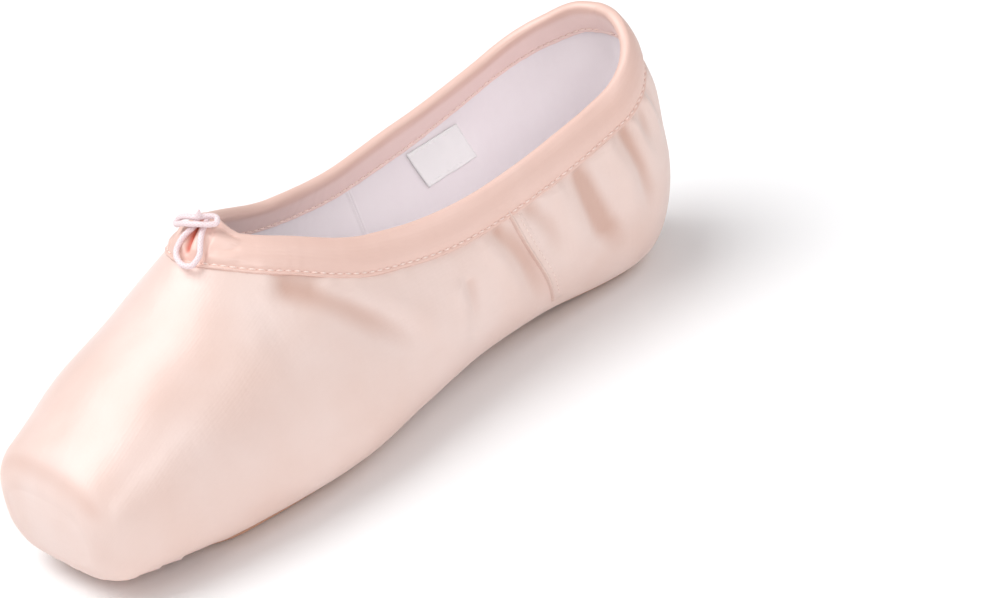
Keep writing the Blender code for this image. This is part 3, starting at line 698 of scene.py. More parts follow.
def satin_material(name, light, deep, shade_colour, weave=0.00028, pale=None):
    """Satin: fine long floats along the shoe, soft uneven sheen, painted shade where its mark is above
    nought, in folds and shaded edges, and painted light, paler, where its mark is below nought."""
    cloth = Surface(name, Roughness=0.4, Sheen_Weight=0.08, Sheen_Roughness=0.35, Anisotropic=0.55)
    cloth.shader.inputs["Sheen Tint"].default_value = (1.0, 0.93, 0.9, 1.0)
    cloth.shader.inputs["Specular IOR Level"].default_value = 0.85
    place = cloth.coordinates()
    uv = cloth.coordinates("UV")
    cloud = cloth.noise(place, 38.0, 2.0)
    streaks = cloth.noise(cloth.scaled(uv, (60.0, 1500.0, 1.0)), 1.0, 3.0)
    base = cloth.blend(cloth.span(cloud, 0.3, 0.7), light, deep)
    tinted = cloth.blend(cloth.span(streaks, 0.25, 0.75, 0.0, 0.16), base, deep)
    # Painted shade: the mark above nought draws the colour towards the shade colour
    painted_shading = cloth.blend(cloth.span(cloth.mark(), 0.0, 1.0), tinted, shade_colour)
    # Painted light: the mark below nought draws the colour towards the pale colour
    if pale:
        painted_shading = cloth.blend(cloth.span(cloth.mark(), 0.0, -1.0), painted_shading, pale)
    weft = cloth.threads(uv, weave, "X", 0.6)
    warp = cloth.threads(uv, 0.6 * weave, "Y", 0.9)
    soft = cloth.bump(cloth.noise(place, 120.0, 3.0), 0.00022)
    woven = cloth.bump(cloth.math("ADD", cloth.math("MULTIPLY", weft, 0.4), warp), 0.000012, soft)
    threads = cloth.bump(streaks, 0.00002, woven)
    rough = cloth.span(cloud, 0.2, 0.8, 0.40, 0.48)
    tangent = cloth.node("ShaderNodeTangent", direction_type="UV_MAP", uv_map="UVMap")
    return cloth.set(Base_Color=painted_shading, Roughness=rough, Normal=threads, Tangent=tangent.outputs["Tangent"])


def cloth_material(name, light, deep, weave, depth=0.00004, hollow_shade=0.25):
    """Plain woven cloth: crossing threads, soft and matt, with painted shade where the threads dip."""
    cloth = Surface(name, Roughness=0.85, Sheen_Weight=0.25, Sheen_Roughness=0.5)
    cloth.shader.inputs["Specular IOR Level"].default_value = 0.25
    uv = cloth.coordinates("UV")
    place = cloth.coordinates()
    woven = cloth.math("ADD", *(cloth.threads(uv, weave, way, 0.5) for way in "XY"))
    cloud = cloth.noise(place, 45.0, 4.0)
    base = cloth.blend(cloth.span(cloud, 0.3, 0.7), light, deep)
    # Painted shade: darker where the weave's bump is low
    weave_shaded = cloth.blend(cloth.span(woven, 0.2, 1.8, hollow_shade, 0.0), base, deep)
    soft = cloth.bump(cloud, 0.0006)
    return cloth.set(Base_Color=weave_shaded, Normal=cloth.bump(woven, depth, soft))


SATIN = satin_material("pale_satin", *SATIN_COLOURS)
BINDING = satin_material("binding_satin", *BINDING_COLOURS, pale=INNER_PAINTED_LIGHT)
LINING = cloth_material("lining_drill", *LINING_COLOURS, 0.0005, 0.000012, 0.05)
SOCK = cloth_material("sock_cloth", *SOCK_COLOURS, 0.0007)
TAG = cloth_material("tag_tape", *TAG_COLOURS, 0.0004, 0.00001, 0.08)
THREAD = satin_material("pink_thread", *THREAD_COLOURS, 0.0002)
HOLE_SHADE = cloth_material("needle_hole_shade", *HOLE_SHADE_COLOURS, 0.0004)


def cord_material():
    """Braided elastic: slanting strands across each other."""
    braid = Surface("braided_elastic", Roughness=0.6, Sheen_Weight=0.4, Sheen_Roughness=0.4)
    uv = braid.coordinates("UV")
    place = braid.coordinates()
    strands = braid.wave(uv, 0.9, "DIAGONAL", 0.4)
    crossing = braid.wave(braid.scaled(uv, (1.0, -1.0, 1.0)), 0.9, "DIAGONAL", 0.4)
    over = braid.math("MAXIMUM", strands, crossing)
    light, deep = (0.93, 0.79, 0.81, 1), (0.86, 0.66, 0.68, 1)
    # Painted shade: strands lighter where they lie over, darker where they pass under
    base = braid.blend(braid.span(over, 0.35, 0.95), deep, light)
    fuzz = braid.bump(braid.noise(place, 2600.0, 2.0), 0.00002)
    return braid.set(Base_Color=base, Normal=braid.bump(over, 0.00005, fuzz))


def leather_material():
    """Smooth tan leather: fine grain, a paler skived border and a double groove pressed round it."""
    hide = Surface("sole_leather", Roughness=0.55)
    hide.shader.inputs["Specular IOR Level"].default_value = 0.4
    place = hide.coordinates()
    inset = hide.mark()
    cloud = hide.noise(place, 26.0, 5.0, 0.6)
    tan, dark, pale = (0.69, 0.405, 0.27, 1), (0.60, 0.33, 0.21, 1), (0.745, 0.46, 0.325, 1)
    base = hide.blend(hide.span(cloud, 0.35, 0.7), tan, dark)
    skived = hide.blend(hide.span(inset, 4.0, 4.4, 1.0, 0.0), base, pale)
    lines = []
    for middle in GROOVES:
        away = hide.math("ABSOLUTE", hide.math("SUBTRACT", inset, middle))
        lines.append(hide.span(away, 0.12, 0.42, 1.0, 0.0))
    groove = hide.math("MAXIMUM", *lines)
    # Darker in the pressed grooves and along the very edge
    edge = hide.span(inset, 0.0, 0.6, 0.45, 0.0)
    groove_and_edge_dark = hide.math("MAXIMUM", hide.math("MULTIPLY", groove, 0.8), edge)
    colour = hide.blend(groove_and_edge_dark, skived, (0.40, 0.17, 0.09, 1))
    cells = hide.node("ShaderNodeTexVoronoi", {"Vector": place, "Scale": 1400.0}, feature="DISTANCE_TO_EDGE")
    pores = hide.bump(hide.span(cells.outputs["Distance"], 0.0, 0.12), 0.00003)
    scuffs = hide.noise(hide.scaled(place, (900.0, 60.0, 900.0)), 1.0, 2.0)
    worn = hide.bump(scuffs, 0.00002, pores)
    pressed = hide.bump(hide.math("SUBTRACT", 1.0, groove), 0.00025, worn)
    return hide.set(Base_Color=colour, Normal=pressed, Roughness=hide.span(cloud, 0.3, 0.7, 0.48, 0.62))


def stamp_material():
    """Leather darkened where the flowers are pressed in."""
    stamp = Surface("pressed_mark", Roughness=0.5)
    cloud = stamp.noise(stamp.coordinates(), 900.0)
    return stamp.set(Base_Color=stamp.blend(cloud, *STAMP_COLOURS))


CORD = cord_material()
LEATHER = leather_material()
STAMP = stamp_material()


def add_camera():
    """Camera at the photograph's angle, rolled as the photograph is."""
    azimuth, elevation = math.radians(CAMERA_AZIMUTH), math.radians(CAMERA_ELEVATION)
    level = math.cos(elevation)
    back = Vector((math.sin(azimuth) * level, -math.cos(azimuth) * level, math.sin(elevation)))
    right = (-back).cross(Vector((0, 0, 1))).normalized()
    up = right.cross(-back)
    cos, sin = math.cos(math.radians(CAMERA_ROLL)), math.sin(math.radians(CAMERA_ROLL))
    axes = Matrix((cos * right + sin * up, -sin * right + cos * up, back)).transposed()
    data = bpy.data.cameras.new("camera")
    data.sensor_fit = "HORIZONTAL"
    data.sensor_width = SENSOR_WIDTH
    data.lens = CAMERA_FOCAL * SENSOR_WIDTH
    data.clip_start, data.clip_end = 0.01, 20
    camera = bpy.data.objects.new("camera", data)
    camera.matrix_world = Matrix.Translation(Vector(CAMERA_TARGET) + back * CAMERA_DISTANCE) @ axes.to_4x4()
    bpy.context.scene.collection.objects.link(camera)
    bpy.context.scene.camera = camera


def evened(line, times):
    """A line with each inner place drawn towards its neighbours."""
    for _ in range(times):
        line[1:-1] = (line[:-2] + 2 * line[1:-1] + line[2:]) / 4
    return line


def throat_point(rows, steps, closed=False):
    """Places of a cord laid on the binding at the throat."""
    table = np.array(rows) * CORD_DIAMETER
    if closed:
        table = np.concatenate([table[-2:], table, table[:2]])
    reach = run_length(table)
    start, end = (reach[2], reach[-2]) if closed else (reach[0], reach[-1])
    across, back, above = through(reach, table, np.linspace(start, end, steps))
    path = THROAT + back
    points = off_last(path, angle_across(path, across), CORD_SEAT + above)
    points[:, 0] *= np.where(across < 0, -1, 1)
    return evened(points, 6)


def tube(name, points, node, closed=False, taper=0.0):
    """Round elastic as a mesh, with u along it in diameters and v round it."""
    run = np.gradient(points, axis=0)
    if closed:
        run[0] = run[-1] = points[1] - points[-2]
    run /= np.linalg.norm(run, axis=1, keepdims=True)
    side = np.cross(run[0], (0.0, 0.0, 1.0))
    frames = []
    for step in run:
        side = side - step * (side @ step)
        side /= np.linalg.norm(side)
        frames.append((side, np.cross(step, side)))
    turn = np.linspace(0, 2 * math.pi, CORD_SIDES + 1)
    reach = run_length(points)
    thick = 1 + TIP_SWELL * (taper > 0) - taper * smooth_step(0.45, 1.0, reach / reach[-1])
    radii = CORD_DIAMETER / 2 * thick
    ring = np.stack([a * np.cos(turn)[:, None] + b * np.sin(turn)[:, None] for a, b in frames])
    grid = points[:, None] + ring * radii[:, None, None]
    if closed:
        grid[-1] = grid[0]
    grid[:, -1] = grid[:, 0]
    uv = pair((reach / CORD_DIAMETER)[:, None], turn / (2 * math.pi) * 4)
    patch = Patchwork()
    patch.add(grid, uv)
    if not closed:
        for end, flip in ((0, False), (-1, True)):
            cap = np.stack([np.broadcast_to(points[end], grid[end].shape), grid[end]])
            patch.add(cap, flip=flip)
    return patch.finish(name, CORD, "cord", node)


def add_drawstring():
    """Loop, knot and short end of the elastic where it leaves the binding."""
    loop = throat_point(LOOP_ROUTE, 90)
    knot = throat_point(KNOT_ROUTE, 110, True)
    tip = throat_point(TIP_ROUTE, 26)
    loop_piece = tube("drawstring_loop", loop, "cord_loop")
    knot_piece = tube("drawstring_knot", knot, "cord_bar", closed=True)
    tip_piece = tube("drawstring_end", tip, "cord_tip", taper=TIP_TAPER)


def fold_height(path, points, side):
    """Height of the folds over points of one side of the satin."""
    total = np.zeros(path.shape)
    for fold_side, height, start, end, places in FOLDS:
        if fold_side != side:
            continue
        marks = smooth_line(places, FOLD_STEPS)
        row = marks[:, 0] * LENGTH
        breadth = TROUGH_BREADTH if height < 0 else 1.0
        reach = FOLD_REACH * breadth * max(start, end) * MM
        close = (path > row.min() - reach) & (path < row.max() + reach)
        gap, share = near_line(points[close], last_point(row, marks[:, 1]))
        width = breadth * (start + (end - start) * share) * MM
        ends = smooth_step(-0.02, 0.12, share) * (1 - smooth_step(0.48, 1.10, share))
        total[close] += height * MM * np.exp(-((gap / width) ** 2)) * ends
    return total


def pleat_height(points):
    """Laps of the satin gathered under the toe."""
    x, y, z = points[..., 0], points[..., 1] + LENGTH / 2, points[..., 2]
    turn = np.arctan2(x, PLEAT_CENTRE - y) / PLEAT_SPAN + 0.5
    bend = sum(size * np.sin(turn * times + phase) for size, times, phase in PLEAT_BENDS)
    lap = (turn + bend) * PLEAT_COUNT
    whole = lap - np.floor(lap)
    saw = whole * (1 - smooth_step(PLEAT_TURN, 1.0, whole))
    inside = smooth_step(0.0, 0.04, turn) * (1 - smooth_step(0.96, 1.0, turn))
    reach = np.hypot(x, PLEAT_CENTRE - y)
    deep = PLEAT_DEPTH * (1 - smooth_step(*PLEAT_FADE, reach))
    low = 1 - smooth_step(0.35 * PLEAT_TOP, PLEAT_TOP, z - OUTSOLE_SEAT)
    return -deep * (1 - saw) * inside * low * smooth_step(-0.2, 0.15, (PLEAT_CENTRE - y) / PLEAT_CENTRE)


def cloth_rows(edge_rows, stretches, columns):
    """Path, profile angles and girth of a cloth's rows, from the sole's opening to the collar."""
    rows = [PLATFORM_EDGE * (1 - np.cos(np.linspace(0, QUARTER, edge_rows)))]
    start = PLATFORM_EDGE
    for end, steps, bunch in stretches:
        rows.append(spread(start, end, steps, bunch))
        start = end
    path = np.concatenate(rows)
    low, high = opening_angle(path)[:, None], collar_angle(path)[:, None]
    angle = low + (high - low) * np.linspace(0, 1, columns)
    return path, angle, girth(path, angle)


def soft_waves(height, path, angle, lengths, turns, phase=0.0):
    """Faint unevenness: two crossing waves, their lengths along in mm, their turns round."""
    first, second = (path / MM / length + angle * turn for length, turn in zip(lengths, turns))
    return height * np.sin(first + phase) * np.sin(second)


def small_waves(reach, rows, side):
    """Sum of small waves along a line: length in mm, height, phase, phase that turns with the side."""
    return sum(
        height * np.sin(reach / MM / length + phase + turned * side)
        for length, height, phase, turned in rows
    )


def platform_disc(rim, dome, steps):
    """Domed disc over the toe's platform, from its middle out to a rim."""
    centre = np.array([0.0, -LENGTH / 2 - dome, rim[:, 2].mean()])
    shares = np.linspace(0, 1, steps)[:, None, None]
    disc = centre + (rim - centre) * shares
    disc[..., 1] = rim[:, 1] + (centre[1] - rim[:, 1]) * (1 - shares[..., 0] ** 2)
    return disc


def cut_edges(path, side):
    """The cloth's two open edges: column, rows that have it, and which way it faces."""
    for column, start, faces_in in ((0, OPENING_TIP, side > 0), (-1, THROAT, side < 0)):
        yield column, path >= start - NEAR, faces_in


def below_binding(path, angle):
    """Distance over the satin from the binding's lower edge down to a place."""
    line = path.reshape(-1)
    flat = girth(line, angle.reshape(-1, 1)) - girth(line, collar_angle(line).reshape(-1, 1))
    return flat.reshape(path.shape) - BINDING_DROP


def skin_height(path, angle, below, side):
    """How far the satin stands off the last: folds, puckers, soft waves and the toe's pleats."""
    points = last_point(path, angle)
    open_row = smooth_step(THROAT - 14 * MM, THROAT + 6 * MM, path)
    clear = 1 - open_row * (1 - smooth_step(-1.0 * MM, 1.8 * MM, below))
    strength = PUCKER_HEIGHT + PUCKER_GAIN * smooth_step(0.55 * LENGTH, 0.75 * LENGTH, path)
    fading = strength * np.exp(-np.clip(below, 0, None) / PUCKER_REACH) * open_row

    def one_side(way):
        puckers = fading * small_waves(path, PUCKERS, way)
        waves = soft_waves(SATIN_WAVE, path, angle, (9.0, 17.0), (3.0, 4.0), way)
        return fold_height(path, points, way) + puckers + waves

    here, other = one_side(side), one_side(-side)
    share = smooth_step(-MIDDLE_BLEND, MIDDLE_BLEND, points[..., 0])
    height = other + (here - other) * share
    swell = SATIN_SWELL * smooth_step(0.20 * LENGTH, 0.36 * LENGTH, path)
    height = np.maximum(height + swell, LINING_ROOM - wall(path))
    return height * clear + pleat_height(points * (side, 1, 1))


def fold_shade(height):
    """How much painted shade a place takes: warmer and darker the deeper it lies in a fold."""
    return np.clip((0.2 * MM - height) / (1.4 * MM), 0, 1) ** 1.2 * 0.76


def edge_shade(path, angle):
    """Painted shade: a warmer, darker line where the satin is drawn tight over the platform's upper edge."""
    near_edge = np.exp(-(((path - EDGE_SHADE_PLACE) / EDGE_SHADE_WIDTH) ** 2))
    return EDGE_SHADE * near_edge * smooth_step(0.25, 0.75, angle)


def add_skin():
    """Outer satin over the box, its cut edges turned in under the binding and the sole."""
    path, angle, down = cloth_rows(EDGE_ROWS, SATIN_ROWS, SATIN_COLUMNS)
    below = down - girth(path, angle[:, -1:]) - BINDING_DROP
    patch = Patchwork()
    for side in (1, -1):
        height = skin_height(np.broadcast_to(path[:, None], angle.shape), angle, below, side)
        face = off_last(path[:, None], angle, height) * (side, 1, 1)
        uv = pair(path[:, None], down * side)
        # Mark: painted shade in the folds' troughs and along the platform's upper edge
        patch.add(face, uv, side < 0, np.maximum(fold_shade(height), edge_shade(path[:, None], angle)))
        disc = platform_disc(face[0], PLATFORM_DOME, 17)
        patch.add(disc, disc[..., [0, 2]], side < 0)
        for column, rows, flip in cut_edges(path, side):
            inner = height[rows, column] - SATIN_THICK
            turned = off_last(path[rows], angle[rows, column], inner) * (side, 1, 1)
            strip = np.stack([face[rows, column], turned], 1)
            patch.add(strip, uv[rows][:, [column, column]], flip)
    patch.finish("satin_upper", SATIN, "satin", "upper")


def add_lining():
    """Cloth inside the shoe, on the inner face of the box's wall."""
    path, angle, down = cloth_rows(LINING_EDGE_ROWS, LINING_ROWS, LINING_COLUMNS)
    waves = soft_waves(LINING_WAVE, path[:, None], angle, (8.0, 13.0), (2.0, 3.0))
    waves = waves * smooth_step(0.0, 0.08, angle[:, -1:] - angle)
    patch = Patchwork()
    for side in (1, -1):
        uv = pair(path[:, None], down * side)
        faces = []
        for thick, flip in ((0.0, side > 0), (LINING_THICK, side < 0)):
            depth = -wall(path)[:, None] + thick + waves * side
            grid = off_last(path[:, None], angle, depth) * (side, 1, 1)
            grid[path <= THROAT + NEAR, -1, 0] = 0.0
            grid[path <= OPENING_TIP + NEAR, 0, 0] = 0.0
            faces.append(grid)
            patch.add(grid, uv, flip)
            disc = platform_disc(grid[0], PLATFORM_DOME + thick - BOX_WALL, 7)
            patch.add(disc, disc[..., [0, 2]], flip)
        for column, rows, flip in cut_edges(path, -side):
            strip = np.stack([face[rows, column] for face in faces], 1)
            patch.add(strip, uv[rows][:, [column, column]], flip)
    patch.finish("lining", LINING, "insole_cloth", "upper")


def collar_rays(side_steps, heel_steps):
    """Places on the last down from the collar's edge, square to it."""
    sides = spread(THROAT, HEEL_PIVOT, side_steps, 2.0)
    path = np.concatenate([[THROAT], sides, spread(HEEL_PIVOT, PATH_END, heel_steps)])
    angle = collar_angle(path)
    edge = last_point(path, angle)
    run = np.gradient(edge, axis=0)
    run[0], run[-1] = (1, 0, 0), (-1, 0, 0)
    run /= np.linalg.norm(run, axis=1, keepdims=True)
    step = BINDING_DROP / RAY_STEPS
    paths, angles, downs = [path], [angle], []
    for _ in range(RAY_STEPS):
        along, up = slopes(path, angle)
        down = np.cross(run, np.cross(along, up))
        down /= np.linalg.norm(down, axis=1, keepdims=True)
        downs.append(down)
        length, slant, height = (along * along).sum(1), (along * up).sum(1), (up * up).sum(1)
        forward, low = (along * down).sum(1) * step, (up * down).sum(1) * step
        area = length * height - slant * slant
        path = path + (forward * height - low * slant) / area
        angle = angle + (low * length - forward * slant) / area
        paths.append(path)
        angles.append(angle)
    return np.stack(paths, 1), np.stack(angles, 1), downs[0], run_length(edge)


def ray_place(rays, share):
    """Path and angle of every ray at a share of the binding's drop."""
    column = share * RAY_STEPS
    low = min(int(column), RAY_STEPS - 1)
    t = column - low
    return [table[:, low] * (1 - t) + table[:, low + 1] * t for table in rays[:2]]


def gather(reach, share, side):
    """Small gathers across the binding, stronger at its stitches, smoother towards the rim."""
    fine = small_waves(reach, GATHERS, side) * (0.02 + 0.07 * share**3)
    slow = small_waves(reach, SLOW_GATHERS, side) * (0.10 - 0.05 * share)
    return (fine + slow) * MM


def leaf_offset(reach, share, table, side):
    """How far a leaf of the binding stands off at a share of its drop, calm at the throat."""
    calm = smooth_step(0.0, LIP_SOFT, reach)
    return smooth_table(table, 1, np.full(len(reach), share)) * MM + gather(reach, share, side) * calm


def crease_height(points):
    """Creases of the binding beside the knot."""
    total = np.zeros(points.shape[:-1])
    for height, width, places in THROAT_CREASES:
        table = smooth_line(np.array(places) * MM, 12)
        path = THROAT + table[:, 1]
        gap, share = near_line(points, last_point(path, angle_across(path, table[:, 0])))
        ends = smooth_step(-0.05, 0.15, share) * (1 - smooth_step(0.75, 1.05, share))
        total += height * MM * np.exp(-((gap / (width * MM)) ** 2)) * ends
    return total


def add_binding():
    """Folded satin band over the collar's edge, gathered along its stitches, split at the throat."""
    rays = collar_rays(190, 56)
    path, angle, down, reach = rays[0][:, 0], rays[1][:, 0], rays[2], rays[3]
    normal = outward(path, angle)
    half_wall = wall(path)[:, None] / 2
    edge = last_point(path, angle)
    middle = edge - normal * half_wall
    patch = Patchwork()
    calm = smooth_step(0.0, LIP_SOFT, reach)
    near = 1 - smooth_step(0.5 * SLIT_REACH, SLIT_REACH, reach)
    roof_slit = np.exp(-((edge[:, 0] / (1.1 * SLIT_HALF)) ** 2)) * near
    peak = PEAK_RISE * smooth_step(-0.6 * MM, 1.6 * MM, reach)
    peak = peak * (1 - smooth_step(1.5 * MM, PEAK_REACH, reach))
    for side in (1, -1):
        ring, marks = [], []

        def lifted(point, share):
            weight = 1 - smooth_step(0.0, 0.55, share)
            return point + (normal * 0.12 - down) * (peak * weight)[:, None]

        def leaf(share, table, inside):
            ray_path, ray_angle = ray_place(rays, share)
            offset = leaf_offset(reach, share, table, side)
            slit = np.zeros(len(reach))
            if not inside:
                point = last_point(ray_path, ray_angle)
                fade = 1 - smooth_step(0.55, 0.8, share)
                off_slit = side * point[:, 0] - SLIT_LEAN * share
                slit = np.exp(-((off_slit / (SLIT_HALF * (1 - 0.5 * share))) ** 2)) * fade * near
                off_lip = np.abs(off_slit) / SLIT_HALF - LIP_PLACE
                lip = np.exp(-((off_lip / LIP_WIDTH) ** 2)) * fade * near
                offset = offset - SLIT_HALF * slit + LIP_HEIGHT * lip + crease_height(point) * (1 - slit)
            # Mark: painted shadow in the slit; on the inner leaf, below nought, painted light that makes it
            # paler
            marks.append(slit - smooth_step(0.0, 0.2, share) if inside else slit)
            depth = -wall(ray_path) - offset if inside else offset
            return lifted(off_last(ray_path, ray_angle, depth), share)

        def underneath(share, inside):
            ray_path, ray_angle = ray_place(rays, share)
            marks.append(np.zeros(len(reach)))
            return off_last(ray_path, ray_angle, -wall(ray_path) - COVER_GAP if inside else COVER_GAP)

        ring += [leaf(share, OUTER_LEAF, False) for share in OUTER_SHARES]
        for turn in np.linspace(0.12, math.pi - 0.12, ROOF_STEPS):
            crest = math.sin(turn)
            uneven = gather(reach, 0.0, side) * calm - 0.9 * MM * roof_slit
            rise = (BINDING_CREST * crest**0.8 + uneven * crest)[:, None]
            out = (half_wall + CREST_REACH) * math.cos(turn)
            ring.append(lifted(middle - down * rise + normal * out, 0.0))
            # Mark: painted shadow over the slit along the crest
            marks.append(roof_slit * crest)
        ring += [leaf(share, INNER_LEAF, True) for share in INNER_SHARES]
        for inside, shares in ((True, (0.88, 0.45, 0.02)), (False, (0.02, 0.5, 0.98))):
            ring += [underneath(share, inside) for share in shares]
        ring.append(ring[0])
        marks.append(marks[0])
        grid = np.stack(ring, 1)
        grid[[0, -1], :, 0] = 0
        uv = pair((reach * side)[:, None], run_length(grid[len(reach) // 2]))
        patch.add(grid * (side, 1, 1), uv, side < 0, np.stack(marks, 1))
    patch.finish("binding_band", BINDING, "binding_satin", "binding")
    return rays


def dash(patch, start, end, normal, radius, sides=6):
    """One stitch: a small sunk bead between two needle holes."""
    run = end - start
    length = np.linalg.norm(run)
    run = run / length
    side = np.cross(normal, run)
    shares = np.array([0.0, 0.08, 0.3, 0.5, 0.7, 0.92, 1.0])
    swell = np.array([0.0, 0.55, 0.95, 1.0, 0.95, 0.55, 0.0])
    lift = np.sin(shares * math.pi) * 0.6 - 0.35
    turn = np.linspace(0, 2 * math.pi, sides + 1)
    ring = side * np.cos(turn)[:, None] + normal * np.sin(turn)[:, None]
    along, thick, high = (row[:, None, None] for row in (shares * length, swell * radius, lift * radius))
    grid = start + run * along + ring * thick + normal * high
    grid[:, -1] = grid[:, 0]
    patch.add(grid, pair((shares * length)[:, None], turn * radius))


def stitch_row(patch, holes, points, normals, stitch, side, skip=0.0):
    """Stitches along a line, with a dark bead of painted shade in each needle hole between them."""
    pitch, length, radius = stitch
    points, normals = points * (side, 1, 1), normals * (side, 1, 1)
    reach = run_length(points)

    def at(distance):
        place = np.array([np.interp(distance, reach, points[:, k]) for k in range(3)])
        up = np.array([np.interp(distance, reach, normals[:, k]) for k in range(3)])
        return place, up / np.linalg.norm(up)

    for i in range(int((reach[-1] - skip) / pitch)):
        first = skip + (i + 0.5) * pitch - length / 2
        (start, up), (end, _) = at(first), at(first + length)
        dash(patch, start, end, up, radius)
        between = first - (pitch - length) / 2
        (hole, up), (ahead, _) = at(between), at(between + 0.2 * MM)
        half = (ahead - hole) * 0.8
        hole = hole - up * radius * 0.3
        dash(holes, hole - half, hole + half, up, radius * 0.45, 5)


def angle_of_height(path, height):
    """Profile angle of the last at a height, on the upper part or under the widest line."""
    _, bottom, widest, _ = form(path)
    share = np.clip((widest - height) / (widest - bottom), 0, 1)
    return np.where(height > widest, angle_at(path, height), -np.arcsin(share ** (section("tuck", path) / 2)))


def seam_path(steps, behind=0.0):
    """Path and angle of places behind the side seam's front edge, from the binding down."""
    marks = smooth_line(np.array(SEAM_LINE) * (LENGTH, MM), SEAM_STEPS)
    column = np.linspace(0, SEAM_STEPS - 1, steps)
    path, height = (np.interp(column, np.arange(SEAM_STEPS), marks[:, k]) for k in range(2))
    path = path[:, None] + np.atleast_1d(behind)
    return path, angle_of_height(path, np.broadcast_to(height[:, None], path.shape))


def add_side_seams(patch, holes):
    """Raised fold where a quarter laps over the vamp, with its row of small stitches."""
    shape = np.array(SEAM_SHAPE)
    t = np.linspace(0, 1, SEAM_STEPS)[:, None]
    for side, name in ((-1, "side_seam_left"), (1, "side_seam_right")):
        path, angle = seam_path(SEAM_STEPS, shape[:, 0] * SEAM_WIDTH)
        below = below_binding(path, angle)
        local = skin_height(path, angle, below, side)
        edge = evened(local[:, 2:6].mean(axis=1), 8)
        tied = 1 - smooth_step(0.15, 0.6, shape[:, 0])
        flat = local * (1 - tied) + edge[:, None] * tied
        ripple = SEAM_RIPPLE * np.sin(t * 150.0) * np.exp(-(((shape[:, 0] - 1.0) / 0.3) ** 2))
        tuck = smooth_step(0.04, 0.16, t) * (1 - smooth_step(0.96, 1.0, t))
        grid = off_last(path, angle, flat + (shape[:, 1] * MM + ripple) * tuck)
        under = off_last(path, angle, np.minimum(flat, local) - SEAM_UNDER)
        uv = pair(path, below * side)
        grid, under = grid * (side, 1, 1), under * (side, 1, 1)
        fold = Patchwork()
        # Painted shade over the front of the seam's fold, on top of the folds' own painted shade
        piping_shade = SEAM_SHADE * (1 - smooth_step(0.26, 0.5, shape[:, 0]))
        fold.add(grid, uv, side > 0, np.maximum(fold_shade(local), piping_shade))
        fold.add(under, uv, side < 0)
        fold.close(grid, under, side < 0)
        fold.finish(name + "_fold", SATIN, "seam_satin", name)
        line, line_angle = (part[:, 0] for part in seam_path(50, SEAM_SEWN * SEAM_WIDTH))
        seat = skin_height(line, line_angle, below_binding(line, line_angle), side) + SEAM_THREAD_LIFT
        sewn = slice(9, 49)
        points, normals = off_last(line, line_angle, seat), outward(line, line_angle)
        stitch_row(patch, holes, points[sewn], normals[sewn], SEAM_STITCH, side)


def add_stitches(rays):
    """Row of stitches along both edges of the binding, and the seams' own."""
    patch, holes = Patchwork(), Patchwork()
    reach = rays[3]
    rows = ((STITCH_SHARE, OUTER_LEAF, False), (INNER_STITCH_SHARE, INNER_LEAF, True))
    for side in (1, -1):
        for share, table, inside in rows:
            path, angle = ray_place(rays, share)
            offset = leaf_offset(reach, share, table, side) + THREAD_LIFT
            points = off_last(path, angle, -wall(path) - offset if inside else offset)
            normals = outward(path, angle) * (-1 if inside else 1)
            stitch_row(patch, holes, points, normals, BINDING_STITCH, side, STITCH_SKIP)
    add_side_seams(patch, holes)
    patch.finish("stitches", THREAD, "seam_satin")
    # Painted shade in the needle holes
    holes.finish("needle_hole_shades", HOLE_SHADE, "seam_satin")


def bunched(start, end, turn):
    """Places from start to end over half a turn, closer together at both ends."""
    return start + (end - start) * (1 - np.cos(turn)) / 2


def heel_round(rows, end):
    """Share of the full width behind the heel's pivot, nought at the end."""
    return np.sqrt(1 - np.clip((rows - HEEL_PIVOT) / (end - HEEL_PIVOT), 0, 1) ** 2)


def outline_half(rows):
    """Half width of the outsole at a distance from the toe platform."""
    side = smooth_table(OUTSOLE, 1, rows / LENGTH) * BALL_HALF
    return side * rounded(rows, OUTSOLE_TIP, OUTSOLE_ROUND) * heel_round(rows, OUTSOLE_END)


def sole_outline(steps=360):
    """Right half of the outsole's outline, as x and distance from the toe platform."""
    rows = bunched(OUTSOLE_TIP, OUTSOLE_END, np.linspace(0, math.pi, steps))
    return np.stack([outline_half(rows), rows], 1)


def sole_under(x, rows, inset):
    """Height of the outsole's underside."""
    skive = np.clip(inset / OUTSOLE_SKIVE, 0, 1)
    thick = OUTSOLE_EDGE_THICK + (OUTSOLE_THICK + FLAT_DEPTH - OUTSOLE_EDGE_THICK) * skive
    return np.maximum(bottom_height(x, rows - LENGTH / 2) - GAP - thick, STAMP_DEPTH)


def inset_of(x, rows, outline):
    """Distance in from the outsole's outline."""
    flat = np.stack([np.abs(x), rows], -1).reshape(-1, 2)
    best = np.full(len(flat), np.inf)
    for a, b in zip(outline[:-1], outline[1:]):
        run = b - a
        t = np.clip(((flat - a) @ run) / max(run @ run, 1e-16), 0, 1)
        best = np.minimum(best, np.linalg.norm(flat - a - t[:, None] * run, axis=1))
    return best.reshape(np.shape(x))


